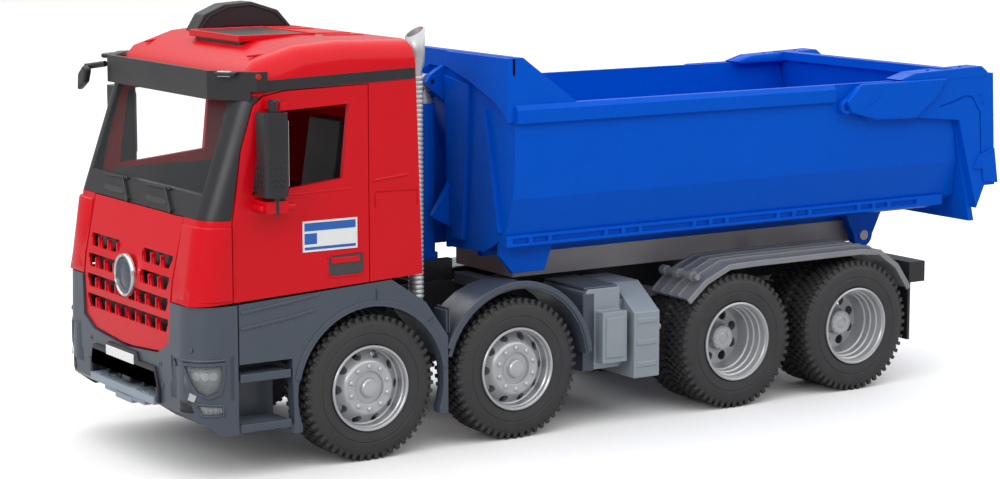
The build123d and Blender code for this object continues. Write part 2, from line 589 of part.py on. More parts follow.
def build_front_fenders():
    side_plate = [(BUMPER_REAR + 0.8, 58), (BUMPER_REAR + 0.8, CAB_SILL_FRONT - 0.3),
                  (AXLE_1 + 12, CAB_SILL_REAR - 1.6), (AXLE_1 + 32, 79), (AXLE_1 + ARCH_LIP_R + 2.8, 60),
                  (AXLE_1 + ARCH_LIP_R + 2.8, 20), (AXLE_1 + 30, 20), (AXLE_1 - 30, 20), (AXLE_1 - 44.5, 20),
                  (AXLE_1 - 45.5, 58)]
    with BuildPart() as fenders:
        side_slab(side_plate, ARCH_LIP_X, HALF_CAB)
        rod_x(ARCH_LIP_R, ARCH_LIP_X - 5, HALF_CAB + 5, AXLE_1, AXLE_Z, mode=Mode.SUBTRACT)
        block(ARCH_LIP_X - 5, HALF_CAB + 5, AXLE_1 - 40, AXLE_1 + 40, 10, AXLE_Z, mode=Mode.SUBTRACT)
        arch(AXLE_1, ARCH_INNER_R, ARCH_INNER_X, ARCH_LIP_X, 15, 160, FENDER_WALL)
        block(RAIL_X, ARCH_INNER_X + 1, AXLE_1 + 24, AXLE_1 + 29, RAIL_TOP - 7, RAIL_TOP - 2)
        mirror(fenders.part, about=Plane.YZ)
    save(fenders, "front_fenders")


def build_second_fenders():
    with BuildPart() as fenders:
        arch(AXLE_2, ARCH_INNER_R - 1.2, ARCH_INNER_X, HALF_CAB, 5, 165, FENDER_WALL)
        arch(AXLE_2, ARCH_INNER_R - 1.2, HALF_CAB - 3, HALF_CAB, 8, 157, FENDER_WALL + 1)
        block(RAIL_X, ARCH_INNER_X + 1, AXLE_2 - 4, AXLE_2 + 4, RAIL_TOP - 1, ARCH_INNER_R + AXLE_Z)
        mirror(fenders.part, about=Plane.YZ)
    save(fenders, "second_fenders")


def build_steps():
    with BuildPart() as steps:
        for low, reach in ((24, 0), (49, 4)):
            block(ARCH_INNER_X + 8 + reach, HALF_CAB - 1, BUMPER_REAR + 1.2, AXLE_1 - 46, low, low + 3)
        block(ARCH_INNER_X + 4, ARCH_INNER_X + 8, BUMPER_REAR + 1.2, AXLE_1 - 46, 24, CAB_SILL_FRONT - 2)
        block(ARCH_INNER_X + 8, ARCH_INNER_X + 12, BUMPER_REAR + 1.2, AXLE_1 - 46, 49, CAB_SILL_FRONT - 2)
        block(RAIL_X, ARCH_INNER_X + 4, AXLE_1 - 66, AXLE_1 - 58, RAIL_BOTTOM + 4, RAIL_BOTTOM + 12)
        mirror(steps.part, about=Plane.YZ)
    save(steps, "cab_steps")


# --- boxes and guards behind the cab ---------------------------------------------------------------
def build_side_boxes():
    front = AXLE_2 + 46.5
    with BuildPart() as left:
        side_slab([(front, 30), (front, 68), (front + 3, 74), (front + 24, 74), (front + 24, 30)], RAIL_X + 8,
                  HALF_CAB - 8)
        block(HALF_CAB - 9, HALF_CAB - 1, front + 8, front + 24, 34, 62)
        front_slab([(RAIL_X + 8, 24), (HALF_CAB, 24), (HALF_CAB, 60), (HALF_CAB - 20, 74), (RAIL_X + 8, 74)],
                   front + 28, front + 45)
        block(RAIL_X + 8, HALF_CAB - 12, front + 20, front + 30, 30, 66)
        block(RAIL_X, RAIL_X + 9, front + 8, front + 16, RAIL_BOTTOM + 4, RAIL_TOP - 4)
    save(left, "side_tank")
    with BuildPart() as right:
        side_slab([(front, 28), (front, 66), (front + 5, 72), (front + 40, 72), (front + 45, 66), (front + 45, 28)],
                  -HALF_CAB + 4, -RAIL_X - 8)
        block(-RAIL_X - 9, -RAIL_X, front + 8, front + 16, RAIL_BOTTOM + 4, RAIL_TOP - 4)
    save(right, "battery_box")


def build_rear_mudguards():
    low_front = AXLE_3 - 33
    top = AXLE_Z + ARCH_LIP_R + 1.5
    inner_x = BRACKET_X + BRACKET_THICK + 2
    outline = [(low_front, 64), (low_front + 12, 74), (low_front + 28, 81), (AXLE_3 + 13, top),
               (AXLE_4 + 3, top), (AXLE_4 + 18, 80), (AXLE_4 + 31, 71), (AXLE_4 + 41, 57), (AXLE_4 + 39, 56),
               (AXLE_4 + 29, 69.5), (AXLE_4 + 17, 78), (AXLE_4 + 2, top - 2), (AXLE_3 + 13, top - 2),
               (low_front + 29, 79), (low_front + 13.5, 72.4), (low_front + 1.6, 62.6)]
    with BuildPart() as guards:
        side_slab(outline, inner_x, HALF_CAB)
        middle = (AXLE_3 + AXLE_4) / 2
        block(RAIL_X, inner_x + 2, middle - 4, middle + 4, RAIL_TOP - 6, RAIL_TOP - 0.5)
        block(inner_x, inner_x + 2, middle - 4, middle + 4, RAIL_TOP - 6, top - 1)
        block(RAIL_X, inner_x + 1, AXLE_3 - 33, AXLE_3 - 29.5, 61, 65.5)
        block(RAIL_X, inner_x + 1, AXLE_4 + 31, AXLE_4 + 35, 62, 67)
        mirror(guards.part, about=Plane.YZ)
    save(guards, "rear_mudguards")


def build_rear_bar():
    y = AXLE_4 + 43
    with BuildPart() as bar:
        block(-HALF_CAB + 2, HALF_CAB - 2, y, y + 12, 58, 70)
        block(-RAIL_X, RAIL_X, y - 3, y, 60, 70)
        for side in (-1, 1):
            low, high = sorted((side * 42, side * 74))
            block(low, high, y + 1, y + 3, 24, 59)
        block(-8, 8, y + 11, y + 20, 60, 64)
        rod_z(HITCH_R, 59, 65, 0, y + 16, mode=Mode.SUBTRACT)
    save(bar, "rear_bar")


# --- tipping body ----------------------------------------------------------------------------------
def tub_section(inset):
    half = BED_HALF - inset
    right = [(half, RIM_TOP_Z + 5), (half, 144), (half - 2, 127), (half - 10, 106 + inset * 0.4),
             (half - 30, BED_FLOOR_Z + 2 + inset), (0, BED_FLOOR_Z + inset)]
    return right + [(-x, z) for x, z in right[-2::-1]]


def build_bed():
    rear_far = REAR_Y
    with BuildPart() as bed:
        front_slab(tub_section(0), BED_FRONT, rear_far)
        for x_from, x_to in ((BED_HALF - 2, BED_HALF + RIM_OUT), (-BED_HALF - RIM_OUT, -BED_HALF + 2)):
            block(x_from, x_to, BED_FRONT, TAIL_PIVOT_Y - 24, RIM_BOTTOM_Z, RIM_TOP_Z)
        for x_from, x_to in ((62, 69), (-69, -62)):
            block(x_from, x_to, BED_FRONT, REAR_Y - 30, 101, 107)
        front_slab(tub_section(BED_WALL), BED_FRONT + BED_WALL, rear_far + 5, mode=Mode.SUBTRACT)
        block(-BED_HALF - 10, BED_HALF + 10, BED_FRONT - 1, rear_far + 5, RIM_TOP_Z, RIM_TOP_Z + 20, mode=Mode.SUBTRACT)
        # headboard above the rim, with its side fins
        block(-BED_HALF, BED_HALF, BED_FRONT, BED_FRONT + BED_WALL, RIM_TOP_Z - 1, HEADBOARD_TOP)
        block(-BED_HALF, BED_HALF, BED_FRONT - 1.5, BED_FRONT + 5, HEADBOARD_TOP - 9, HEADBOARD_TOP)
        for x_from, x_to in ((BED_HALF - BED_WALL, BED_HALF), (-BED_HALF, -BED_HALF + BED_WALL)):
            side_slab([(BED_FRONT, RIM_TOP_Z - 1), (BED_FRONT, HEADBOARD_TOP), (BED_FRONT + 5, HEADBOARD_TOP),
                       (BED_FRONT + 40, RIM_TOP_Z - 1)], x_from, x_to)
        # pocket in the front wall and floor, which the ram leans into as the body tips
        pocket_top = RAM_EYE_Z - 12
        side_slab([(BED_FRONT, BED_FLOOR_Z), (BED_FRONT + POCKET_DEPTH + 2.5, BED_FLOOR_Z),
                   (BED_FRONT + 2.5, pocket_top + 3), (BED_FRONT, pocket_top + 3)],
                  -POCKET_HALF - 2.5, POCKET_HALF + 2.5)
        side_slab([(BED_FRONT - 2, BED_FLOOR_Z - 4), (BED_FRONT + POCKET_DEPTH, BED_FLOOR_Z - 4),
                   (BED_FRONT, pocket_top), (BED_FRONT - 2, pocket_top)],
                  -POCKET_HALF, POCKET_HALF, mode=Mode.SUBTRACT)
        # slanted rear end
        slope_y = TAIL_TOP[0] - TAIL_THICK - PIECE_GAP * 2
        foot_y = TAIL_BOTTOM[0] - TAIL_THICK - PIECE_GAP * 2
        run = (foot_y - slope_y) / (TAIL_TOP[1] - TAIL_BOTTOM[1])
        side_slab([(slope_y - run * 20, TAIL_TOP[1] + 20), (foot_y + run * 20, TAIL_BOTTOM[1] - 20),
                   (REAR_Y + 20, TAIL_BOTTOM[1] - 20), (REAR_Y + 20, TAIL_TOP[1] + 20)], -BED_HALF - 5,
                  BED_HALF + 5, mode=Mode.SUBTRACT)
        # runners that rest on the subframe, and the tipping hinge brackets
        for x in (-27, 27):
            block(x - 2, x + 2, BED_FRONT + 10, TILT_PIN_Y + 20, SUBFRAME_TOP + PIECE_GAP, BED_FLOOR_Z + 3)
        for x_from, x_to in ((BRACKET_X, BRACKET_X + BRACKET_THICK), (-BRACKET_X - BRACKET_THICK, -BRACKET_X)):
            side_slab([(TILT_PIN_Y - 15, BED_FLOOR_Z + 4), (TILT_PIN_Y + 15, BED_FLOOR_Z + 4),
                       (TILT_PIN_Y + 7, TILT_PIN_Z), (TILT_PIN_Y - 7, TILT_PIN_Z)], x_from, x_to)
            rod_x(7, x_from, x_to, TILT_PIN_Y, TILT_PIN_Z)
            rod_x(TILT_PIN_R + RUN_FIT, x_from - 1, x_to + 1, TILT_PIN_Y, TILT_PIN_Z, mode=Mode.SUBTRACT)
        # bosses for the tailgate pins
        rod_x(TAIL_PIN_R + RUN_FIT, -BED_HALF - 5, BED_HALF + 5, TAIL_PIVOT_Y, TAIL_PIVOT_Z, mode=Mode.SUBTRACT)
        # ears that carry the ram's top pin
        for x_from, x_to in ((-9.5, -5.5), (5.5, 9.5)):
            side_slab([(BED_FRONT + 1, RAM_EYE_Z - 12), (BED_FRONT + 1, RAM_EYE_Z + 10), (RAM_Y - 1, RAM_EYE_Z + 4),
                       (RAM_Y - 4, RAM_EYE_Z), (RAM_Y - 1, RAM_EYE_Z - 4)], x_from, x_to)
            rod_x(1.5, x_from - 1, x_to + 1, RAM_Y, RAM_EYE_Z, mode=Mode.SUBTRACT)
    save(bed, "bed")


def build_tailgate():
    top_y, top_z = TAIL_TOP
    foot_y, foot_z = TAIL_BOTTOM
    with BuildPart() as gate:
        side_slab([(top_y, top_z), (foot_y, foot_z), (foot_y - TAIL_THICK, foot_z), (top_y - TAIL_THICK, top_z)],
                  -BED_HALF, BED_HALF)
        block(-BED_HALF, BED_HALF, top_y - 6, top_y + 2, top_z - 4, top_z + 1)
        for side in (-1, 1):
            low, high = sorted((side * (BED_HALF - 1), side * (TAIL_SIDE_X + TAIL_SIDE_THICK)))
            side_slab([(top_y - TAIL_THICK + 1, top_z - 3), (REAR_Y - 3.5, top_z - 3), (REAR_Y, 112), (REAR_Y - 8, 112),
                       (foot_y - TAIL_THICK + 2, foot_z + 8)], low, high)
            low, high = sorted((side * TAIL_SIDE_X, side * (TAIL_SIDE_X + TAIL_SIDE_THICK)))
            side_slab([(TAIL_PIVOT_Y - 20, 166), (TAIL_PIVOT_Y - 8, 175), (REAR_Y - 3.5, top_z - 3),
                       (REAR_Y - 12, 150), (TAIL_PIVOT_Y + 25, 156), (TAIL_PIVOT_Y, 155)], low, high)
            low, high = sorted((side * (BED_HALF - BED_WALL), side * (TAIL_SIDE_X + 1)))
            rod_x(TAIL_PIN_R, low, high, TAIL_PIVOT_Y, TAIL_PIVOT_Z)
    save(gate, "tailgate")


# --- tipping ram -----------------------------------------------------------------------------------
def build_ram():
    bottom = RAM_FOOT_Z + 8
    tops = [RAM_EYE_Z - 12 + i * 2.5 for i in range(4)]
    names = ["ram_barrel", "ram_stage_1", "ram_stage_2", "ram_stage_3"]
    for i, name in enumerate(names):
        radius = RAM_TUBE_R[i]
        floor = bottom + i * 1.5
        with BuildPart() as tube:
            rod_z(radius, floor, tops[i], 0, RAM_Y)
            if i < 3:
                rod_z(RAM_TUBE_R[i + 1] + RAM_GAP, floor + 1.2, tops[i] + 1, 0, RAM_Y, mode=Mode.SUBTRACT)
            if i == 0:
                rod_x(6, -7.5, 7.5, RAM_Y, RAM_FOOT_Z)
                block(-6, 6, RAM_Y - 5, RAM_Y + 5, RAM_FOOT_Z, bottom + 1)
                rod_x(2.5 + RUN_FIT, -8, 8, RAM_Y, RAM_FOOT_Z, mode=Mode.SUBTRACT)
            if i == 3:
                block(-2.5, 2.5, RAM_Y - 2.5, RAM_Y + 2.5, tops[i] - 1, RAM_EYE_Z - 2)
                rod_x(4, -5, 5, RAM_Y, RAM_EYE_Z)
                rod_x(1.5 + 0.6, -6, 6, RAM_Y, RAM_EYE_Z, mode=Mode.SUBTRACT)
        save(tube, name)


os.makedirs("parts", exist_ok=True)
for number, y in ((1, AXLE_1), (2, AXLE_2)):
    for word, side in (("left", 1), ("right", -1)):
        build_tyre(f"tyre_{number}_{word}", y, side, FRONT_TYRE_OUT, FRONT_TYRE_WIDTH, twin=False)
        build_front_rim(f"rim_{number}_{word}", y, side)
        build_knuckle(f"knuckle_{number}_{word}", y, side)
    build_tie_rod(f"tie_rod_{number}", y)
for number, y in ((3, AXLE_3), (4, AXLE_4)):
    for word, side in (("left", 1), ("right", -1)):
        build_tyre(f"tyre_{number}_{word}", y, side, REAR_TYRE_OUT, REAR_TYRE_WIDTH, twin=True)
        build_rear_rim(f"rim_{number}_{word}", y, side)
build_front_axles()
build_rear_axles()
build_chassis()
build_subframe()
build_cab_shell()
build_windscreen_surround()
build_door("door_left", 1)
build_door("door_right", -1)
build_mirror("mirror_left", 1)
build_mirror("mirror_right", -1)
build_front_panel()
build_visor()
build_roof_pieces()
build_cab_inside()
build_bumper()
build_front_step()
build_headlights()
build_front_fenders()
build_second_fenders()
build_steps()
build_side_boxes()
build_rear_mudguards()
build_rear_bar()
build_bed()
build_tailgate()
build_ram()
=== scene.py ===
# %% [markdown]
# # A toy tipper truck, modelled round its CAD parts
# The truck is a 1:16 toy of moulded plastic.  Its CAD parts give every size and every moving body.  This
# lesson rounds their edges as a mould does, adds the small mouldings that the CAD leaves out, and gives each
# plastic its finish.  Everything is in metres, and helpers take millimetres because toy parts are small.

from math import cos, pi, radians, sin

import bpy
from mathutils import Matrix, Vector


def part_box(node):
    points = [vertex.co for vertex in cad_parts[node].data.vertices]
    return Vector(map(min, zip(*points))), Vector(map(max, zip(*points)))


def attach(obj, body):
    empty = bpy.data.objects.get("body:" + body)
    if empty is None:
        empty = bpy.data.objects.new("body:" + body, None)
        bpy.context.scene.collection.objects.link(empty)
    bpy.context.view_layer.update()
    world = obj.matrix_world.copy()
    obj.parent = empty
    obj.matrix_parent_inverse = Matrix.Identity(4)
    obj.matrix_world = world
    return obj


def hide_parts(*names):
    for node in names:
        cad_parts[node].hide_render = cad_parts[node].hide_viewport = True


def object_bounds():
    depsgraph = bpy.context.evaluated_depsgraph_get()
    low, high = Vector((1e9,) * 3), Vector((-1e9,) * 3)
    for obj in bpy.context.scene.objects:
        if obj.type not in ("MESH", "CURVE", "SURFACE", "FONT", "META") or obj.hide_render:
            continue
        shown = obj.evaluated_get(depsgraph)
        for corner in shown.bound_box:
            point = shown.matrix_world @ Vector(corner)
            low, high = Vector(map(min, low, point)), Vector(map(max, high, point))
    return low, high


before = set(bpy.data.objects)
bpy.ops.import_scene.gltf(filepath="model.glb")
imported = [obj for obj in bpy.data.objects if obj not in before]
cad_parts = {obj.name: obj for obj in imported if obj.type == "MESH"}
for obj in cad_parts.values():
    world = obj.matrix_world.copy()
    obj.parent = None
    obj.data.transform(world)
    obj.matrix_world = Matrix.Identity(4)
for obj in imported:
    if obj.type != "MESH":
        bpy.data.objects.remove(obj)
cad_low, cad_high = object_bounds()
MM = 0.001
print("size in mm", [round(v / MM, 1) for v in cad_high - cad_low])

# %% [markdown]
# The camera stands low, in front of the cab and to its left, and looks along the truck with a long lens.  A long
# lens far away keeps the wheels round.  The direction is worked out from an azimuth and an elevation, so that it
# can be read like a map bearing.

# %% Camera
VIEW_AZIMUTH = radians(56.99)
VIEW_ELEVATION = radians(8.72)
VIEW_DISTANCE = 1516.0
VIEW_TARGET = Vector((-80.5, 20.0, 78.5)) * MM
LENS = 92.07

camera_data = bpy.data.cameras.new("studio_camera")
camera_data.lens = LENS
camera_data.sensor_width = 36.0
camera = bpy.data.objects.new("studio_camera", camera_data)
bpy.context.scene.collection.objects.link(camera)
towards_camera = Vector((sin(VIEW_AZIMUTH) * cos(VIEW_ELEVATION), -cos(VIEW_AZIMUTH) * cos(VIEW_ELEVATION),
                         sin(VIEW_ELEVATION)))
camera.location = VIEW_TARGET + towards_camera * VIEW_DISTANCE * MM
camera.rotation_euler = (-towards_camera).to_track_quat("-Z", "Y").to_euler()
bpy.context.scene.camera = camera
print("camera at", [round(v, 3) for v in camera.location])

# %% [markdown]
# A studio for small products is a pale sheet under a big soft light.  The floor is one wide plane.  Large area
# lights give the broad white highlights that show a gloss plastic's folds.

# %% Floor and lights
bpy.ops.object.select_all(action="DESELECT")
bpy.ops.mesh.primitive_plane_add(size=14, location=(0, 0, 0))
floor = bpy.context.active_object
floor.name = "studio_floor"


def add_light(name, location, aim, size, power):
    """A square soft light that faces a point."""
    data = bpy.data.lights.new(name, "AREA")
    data.shape = "RECTANGLE"
    data.size, data.size_y = size
    data.energy = power
    light = bpy.data.objects.new(name, data)
    bpy.context.scene.collection.objects.link(light)
    light.location = location
    light.rotation_euler = (Vector(aim) - Vector(location)).to_track_quat("-Z", "Y").to_euler()
    return light


add_light("top_softbox", (0.0, 0.4, 2.2), (0, 0.4, 0), (8.0, 8.0), 235)
add_light("front_softbox", (0.9, -2.1, 1.1), (0, -0.1, 0.1), (1.2, 0.8), 14)
world = bpy.context.scene.world or bpy.data.worlds.new("studio")
bpy.context.scene.world = world
world.use_nodes = True
print("lights", len(bpy.data.lights))

# %% [markdown]
# A plastic's look is a colour, a gloss, and a skin that is never quite flat.  One function builds them all: a
# broad faint noise varies the colour and the gloss, and a fine one lifts the surface like orange peel.  The
# sizes are in millimetres, on Object coordinates, so a pattern keeps its real scale on every piece.


# %% Material helpers
def linear(hex_colour):
    """An sRGB hex colour as linear red, green, blue and alpha."""
    channels = [int(hex_colour[i:i + 2], 16) / 255 for i in (1, 3, 5)]
    return [c / 12.92 if c <= 0.04045 else ((c + 0.055) / 1.055) ** 2.4 for c in channels] + [1.0]


def add_node(tree, kind, inputs=(), **settings):
    """Adds a node; inputs maps socket names or numbers to values, or to sockets that it links."""
    made = tree.nodes.new(kind)
    for name, value in settings.items():
        setattr(made, name, value)
    for name, value in dict(inputs).items():
        if isinstance(value, bpy.types.NodeSocket):
            tree.links.new(value, made.inputs[name])
        else:
            made.inputs[name].default_value = value
    return made


def plastic(name, colour, shade, gloss, patch_mm=18, grain_mm=0.9, lift=0.05, metallic=0.0, shine=0.5,
            alpha=1.0):
    """A moulded plastic: two near colours in soft patches, uneven gloss and a fine raised grain."""
    made = bpy.data.materials.new(name)
    made.use_nodes = True
    tree = made.node_tree
    shader = tree.nodes["Principled BSDF"]
    place = add_node(tree, "ShaderNodeTexCoord").outputs["Object"]
    patches = add_node(tree, "ShaderNodeTexNoise",
                       {"Vector": place, "Scale": 1 / (patch_mm * MM), "Detail": 3.0, "Roughness": 0.55})
    tint = add_node(tree, "ShaderNodeMix", {"Factor": patches.outputs["Fac"], "A": linear(colour),
                                            "B": linear(shade)}, data_type="RGBA")
    grain = add_node(tree, "ShaderNodeTexNoise",
                     {"Vector": place, "Scale": 1 / (grain_mm * MM), "Detail": 2.0, "Roughness": 0.6})
    rough = add_node(tree, "ShaderNodeMapRange",
                     {"Value": patches.outputs["Fac"], "From Min": 0.3, "From Max": 0.7,
                      "To Min": gloss, "To Max": gloss + 0.07})
    skin = add_node(tree, "ShaderNodeBump", {"Height": grain.outputs["Fac"], "Strength": 0.35,
                                             "Distance": lift * MM})
    tree.links.new(tint.outputs["Result"], shader.inputs["Base Color"])
    tree.links.new(rough.outputs["Result"], shader.inputs["Roughness"])
    tree.links.new(skin.outputs["Normal"], shader.inputs["Normal"])
    shader.inputs["Metallic"].default_value = metallic
    shader.inputs["IOR"].default_value = 1.5 if metallic else 1.53
    shader.inputs["Specular IOR Level"].default_value = shine
    shader.inputs["Alpha"].default_value = alpha
    return made


# %% [markdown]
# The truck is moulded in ABS, which comes out of a polished mould with a clear gloss.  Silver parts carry metal
# flakes in the plastic, so they get some metallic reflection but stay soft.  Tyres are a softer, matt compound.

# %% Materials
ROOM_LIGHT, ROOM_SEEN = 0.5, 1.0
SHEET_LIGHT, SHEET_SEEN = 0.5, 0.97


def seen_or_lit(tree, lit, seen, socket):
    """Gives a socket one level for the light it sends, and another where it is seen directly."""
    direct = add_node(tree, "ShaderNodeLightPath").outputs["Is Camera Ray"]
    level = add_node(tree, "ShaderNodeMapRange", {"Value": direct, "To Min": lit, "To Max": seen})
    tree.links.new(level.outputs["Result"], socket)


bpy.context.scene.view_settings.view_transform = "Standard"
backdrop = world.node_tree.nodes["Background"]
backdrop.inputs["Color"].default_value = (1, 1, 1, 1)
seen_or_lit(world.node_tree, ROOM_LIGHT, ROOM_SEEN, backdrop.inputs["Strength"])
red = plastic("gloss_red_abs", "#D00A1C", "#C80718", 0.2, shine=0.2)
blue = plastic("gloss_blue_abs", "#0055CB", "#0050C3", 0.24, shine=0.05)
slate = plastic("satin_slate_abs", "#454D59", "#3E4652", 0.27, grain_mm=0.7)
black = plastic("satin_black_abs", "#2B2B2E", "#242427", 0.3, grain_mm=0.6, lift=0.07, shine=0.35)
cabin = plastic("matt_grey_abs", "#3C3D41", "#343539", 0.5, grain_mm=0.5, lift=0.09)
silver = plastic("silver_flake_abs", "#C2C3C6", "#B4B6B9", 0.3, grain_mm=0.35, lift=0.03, metallic=0.55)
graphite = plastic("graphite_flake_abs", "#8C8E92", "#7F8185", 0.3, grain_mm=0.35, lift=0.03, metallic=0.35)
pale = plastic("pale_grey_abs", "#8F9BA8", "#84909D", 0.3)
tank_grey = plastic("silver_grey_abs", "#98A1A8", "#8A939B", 0.32, grain_mm=0.4, lift=0.04, metallic=0.25)
warm = plastic("warm_grey_abs", "#B8B3B1", "#ADA7A5", 0.4)
tyre_black = plastic("matt_tyre_compound", "#343436", "#29292B", 0.56, patch_mm=9, grain_mm=0.5, lift=0.12)
signal_red = plastic("clear_red_acrylic", "#C21410", "#A80F0C", 0.12)
signal_amber = plastic("clear_amber_acrylic", "#D9761A", "#C86812", 0.12)
label_white = plastic("printed_white_film", "#E9EAEA", "#E0E2E3", 0.35, lift=0.02)
label_blue = plastic("printed_blue_film", "#1C5FB4", "#1A58A8", 0.35, lift=0.02)
chrome = plastic("bright_plated_abs", "#D5D7D8", "#C7CACC", 0.14, grain_mm=0.4, lift=0.02, metallic=0.9)
window = plastic("clear_polystyrene", "#8E9598", "#868D90", 0.05, lift=0.0, alpha=0.07)
lens = plastic("ribbed_clear_polystyrene", "#A9B0B3", "#9CA4A7", 0.08, lift=0.0, alpha=0.22)
paper = plastic("studio_sheet", "#F2F2F2", "#F1F1F1", 0.6, patch_mm=900)
# the sheet looks white, and the light that it sends back up is weaker, as from a real grey-white sheet
sheet_shader = paper.node_tree.nodes["Principled BSDF"]
seen_or_lit(paper.node_tree, SHEET_LIGHT, SHEET_SEEN, sheet_shader.inputs["Base Color"])
floor.data.materials.append(paper)
print("materials", len(bpy.data.materials))

# %% [markdown]
# Every operator in Blender works on what is selected, and the imported CAD parts are all selected.  These
# helpers always start from a clean selection.  A finished piece has its place in its mesh, its object at the
# origin, a finish, and a body to ride on.


# %% Modelling helpers
SMOOTH = radians(28)
ROUND_SMOOTH = radians(55)
SAME_POINT = 1e-6


def nothing():
    """Object mode with nothing selected."""
    if bpy.context.object and bpy.context.object.mode != "OBJECT":
        bpy.ops.object.mode_set(mode="OBJECT")
    bpy.ops.object.select_all(action="DESELECT")


def only(obj):
    """Object mode with just this object selected and active."""
    nothing()
    obj.select_set(True)
    bpy.context.view_layer.objects.active = obj
    return obj


def edit_all(obj):
    """Edit mode with all of an object's mesh selected."""
    only(obj)
    bpy.ops.object.mode_set(mode="EDIT")
    bpy.ops.mesh.select_all(action="SELECT")


def edit_done():
    bpy.ops.object.mode_set(mode="OBJECT")


def pick(obj, kind, test):
    """Edit mode with only the vertices or the faces that pass a test selected."""
    edit_all(obj)
    bpy.ops.mesh.select_mode(type=kind)
    bpy.ops.mesh.select_all(action="DESELECT")
    edit_done()
    for element in obj.data.vertices if kind == "VERT" else obj.data.polygons:
        element.select = test(element)
    bpy.ops.object.mode_set(mode="EDIT")


def smooth(obj, angle=SMOOTH):
    only(obj)
    bpy.ops.object.shade_smooth_by_angle(angle=angle)
    return obj


def settle(obj):
    """Puts an object's place, turn and size into its mesh."""
    only(obj)
    bpy.ops.object.transform_apply(location=True, rotation=True, scale=True)
    return obj


def modified(obj, kind, **settings):
    """Adds a modifier, sets it and applies it."""
    only(obj)
    bpy.ops.object.modifier_add(type=kind)
    modifier = obj.modifiers[-1]
    for name, value in settings.items():
        setattr(modifier, name, value)
    bpy.ops.object.modifier_apply(modifier=modifier.name)
    return obj


def rounded(obj, width, angle=30, segments=2):
    """Rounds the edges that are sharper than an angle, and shades the rest by weight of face."""
    modified(obj, "BEVEL", width=width * MM, segments=segments, limit_method="ANGLE",
             angle_limit=radians(angle), harden_normals=False)
    smooth(obj, ROUND_SMOOTH)
    return modified(obj, "WEIGHTED_NORMAL", keep_sharp=True)


def joined(parts):
    """Several objects made into one."""
    only(parts[0])
    for part in parts[1:]:
        part.select_set(True)
    if len(parts) > 1:
        bpy.ops.object.join()
    return bpy.context.view_layer.objects.active


def finished(obj, name, material, body="chassis", instead_of=None):
    """Names a piece, gives it its finish, lets it ride on a body, and may let it stand for a CAD part."""
    settle(obj)
    obj.name = name
    obj.data.name = name
    obj.data.materials.clear()
    obj.data.materials.append(material)
    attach(obj, body)
    if instead_of:
        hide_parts(instead_of)
    return obj


def box(x, y, z, edge=0.25):
    """A moulded block between two x, two y and two z, with rounded edges."""
    nothing()
    bpy.ops.mesh.primitive_cube_add(size=MM, location=[(low + high) / 2 * MM for low, high in (x, y, z)],
                                    scale=[high - low for low, high in (x, y, z)])
    made = settle(bpy.context.active_object)
    return rounded(made, edge) if edge else made


def plate(outline, axis, low, high, edge=0.25, angle=30):
    """A flat outline made into a plate square to an axis.  The outline is (y, z), (x, z) or (x, y)."""
    curve = bpy.data.curves.new("outline", "CURVE")
    curve.dimensions = "2D"
    curve.fill_mode = "BOTH"
    curve.extrude = (high - low) / 2 * MM
    line = curve.splines.new("POLY")
    line.points.add(len(outline) - 1)
    for point, (u, v) in zip(line.points, outline):
        point.co = (u * MM, v * MM, 0, 1)
    line.use_cyclic_u = True
    made = bpy.data.objects.new("plate", curve)
    bpy.context.scene.collection.objects.link(made)
    middle = (low + high) / 2 * MM
    made.location = {"X": (middle, 0, 0), "Y": (0, middle, 0), "Z": (0, 0, middle)}[axis]
    made.rotation_euler = {"X": (pi / 2, 0, pi / 2), "Y": (pi / 2, 0, 0), "Z": (0, 0, 0)}[axis]
    only(made)
    bpy.ops.object.convert(target="MESH")
    made = settle(bpy.context.active_object)
    edit_all(made)
    bpy.ops.mesh.remove_doubles(threshold=SAME_POINT)
    bpy.ops.mesh.dissolve_limited(angle_limit=radians(1))
    bpy.ops.mesh.select_all(action="SELECT")
    bpy.ops.mesh.normals_make_consistent(inside=False)
    edit_done()
    return rounded(made, edge, angle) if edge else made


def turned(profile, centre, steps=64, axis="X", closed=True):
    """A profile of (along, radius) points turned about an axis: a ring is extruded and scaled from each to the
    next."""
    nothing()
    direction = {"X": Vector((1, 0, 0)), "Y": Vector((0, 1, 0)), "Z": Vector((0, 0, 1))}[axis]
    turn = {"X": (0, pi / 2, 0), "Y": (pi / 2, 0, 0), "Z": (0, 0, 0)}[axis]
    middle = Vector(centre) * MM
    (along, radius) = profile[0]
    bpy.ops.mesh.primitive_circle_add(vertices=steps, radius=radius * MM, rotation=turn,
                                      location=middle + direction * along * MM)
    made = settle(bpy.context.active_object)
    edit_all(made)
    bpy.ops.mesh.select_mode(type="VERT")
    bpy.ops.mesh.select_all(action="SELECT")
    for next_along, next_radius in profile[1:]:
        bpy.ops.mesh.extrude_edges_move(
            TRANSFORM_OT_translate={"value": direction * (next_along - along) * MM})
        scale = next_radius / radius
        bpy.ops.transform.resize(value=[1 if d else scale for d in direction], center_override=middle)
        along, radius = next_along, next_radius
    bpy.ops.mesh.select_all(action="SELECT")
    bpy.ops.mesh.remove_doubles(threshold=SAME_POINT)
    if not closed:
        bpy.ops.mesh.fill_holes(sides=0)
    bpy.ops.mesh.select_all(action="SELECT")
    bpy.ops.mesh.normals_make_consistent(inside=False)
    return smooth(made)


def ring_of(obj, count, centre):
    """Copies a form round a line along X with Spin, count in all."""
    edit_all(obj)
    bpy.ops.mesh.spin(steps=count - 1, dupli=True, angle=2 * pi * (count - 1) / count,
                      center=Vector(centre) * MM, axis=(1, 0, 0))
    edit_done()
    return obj


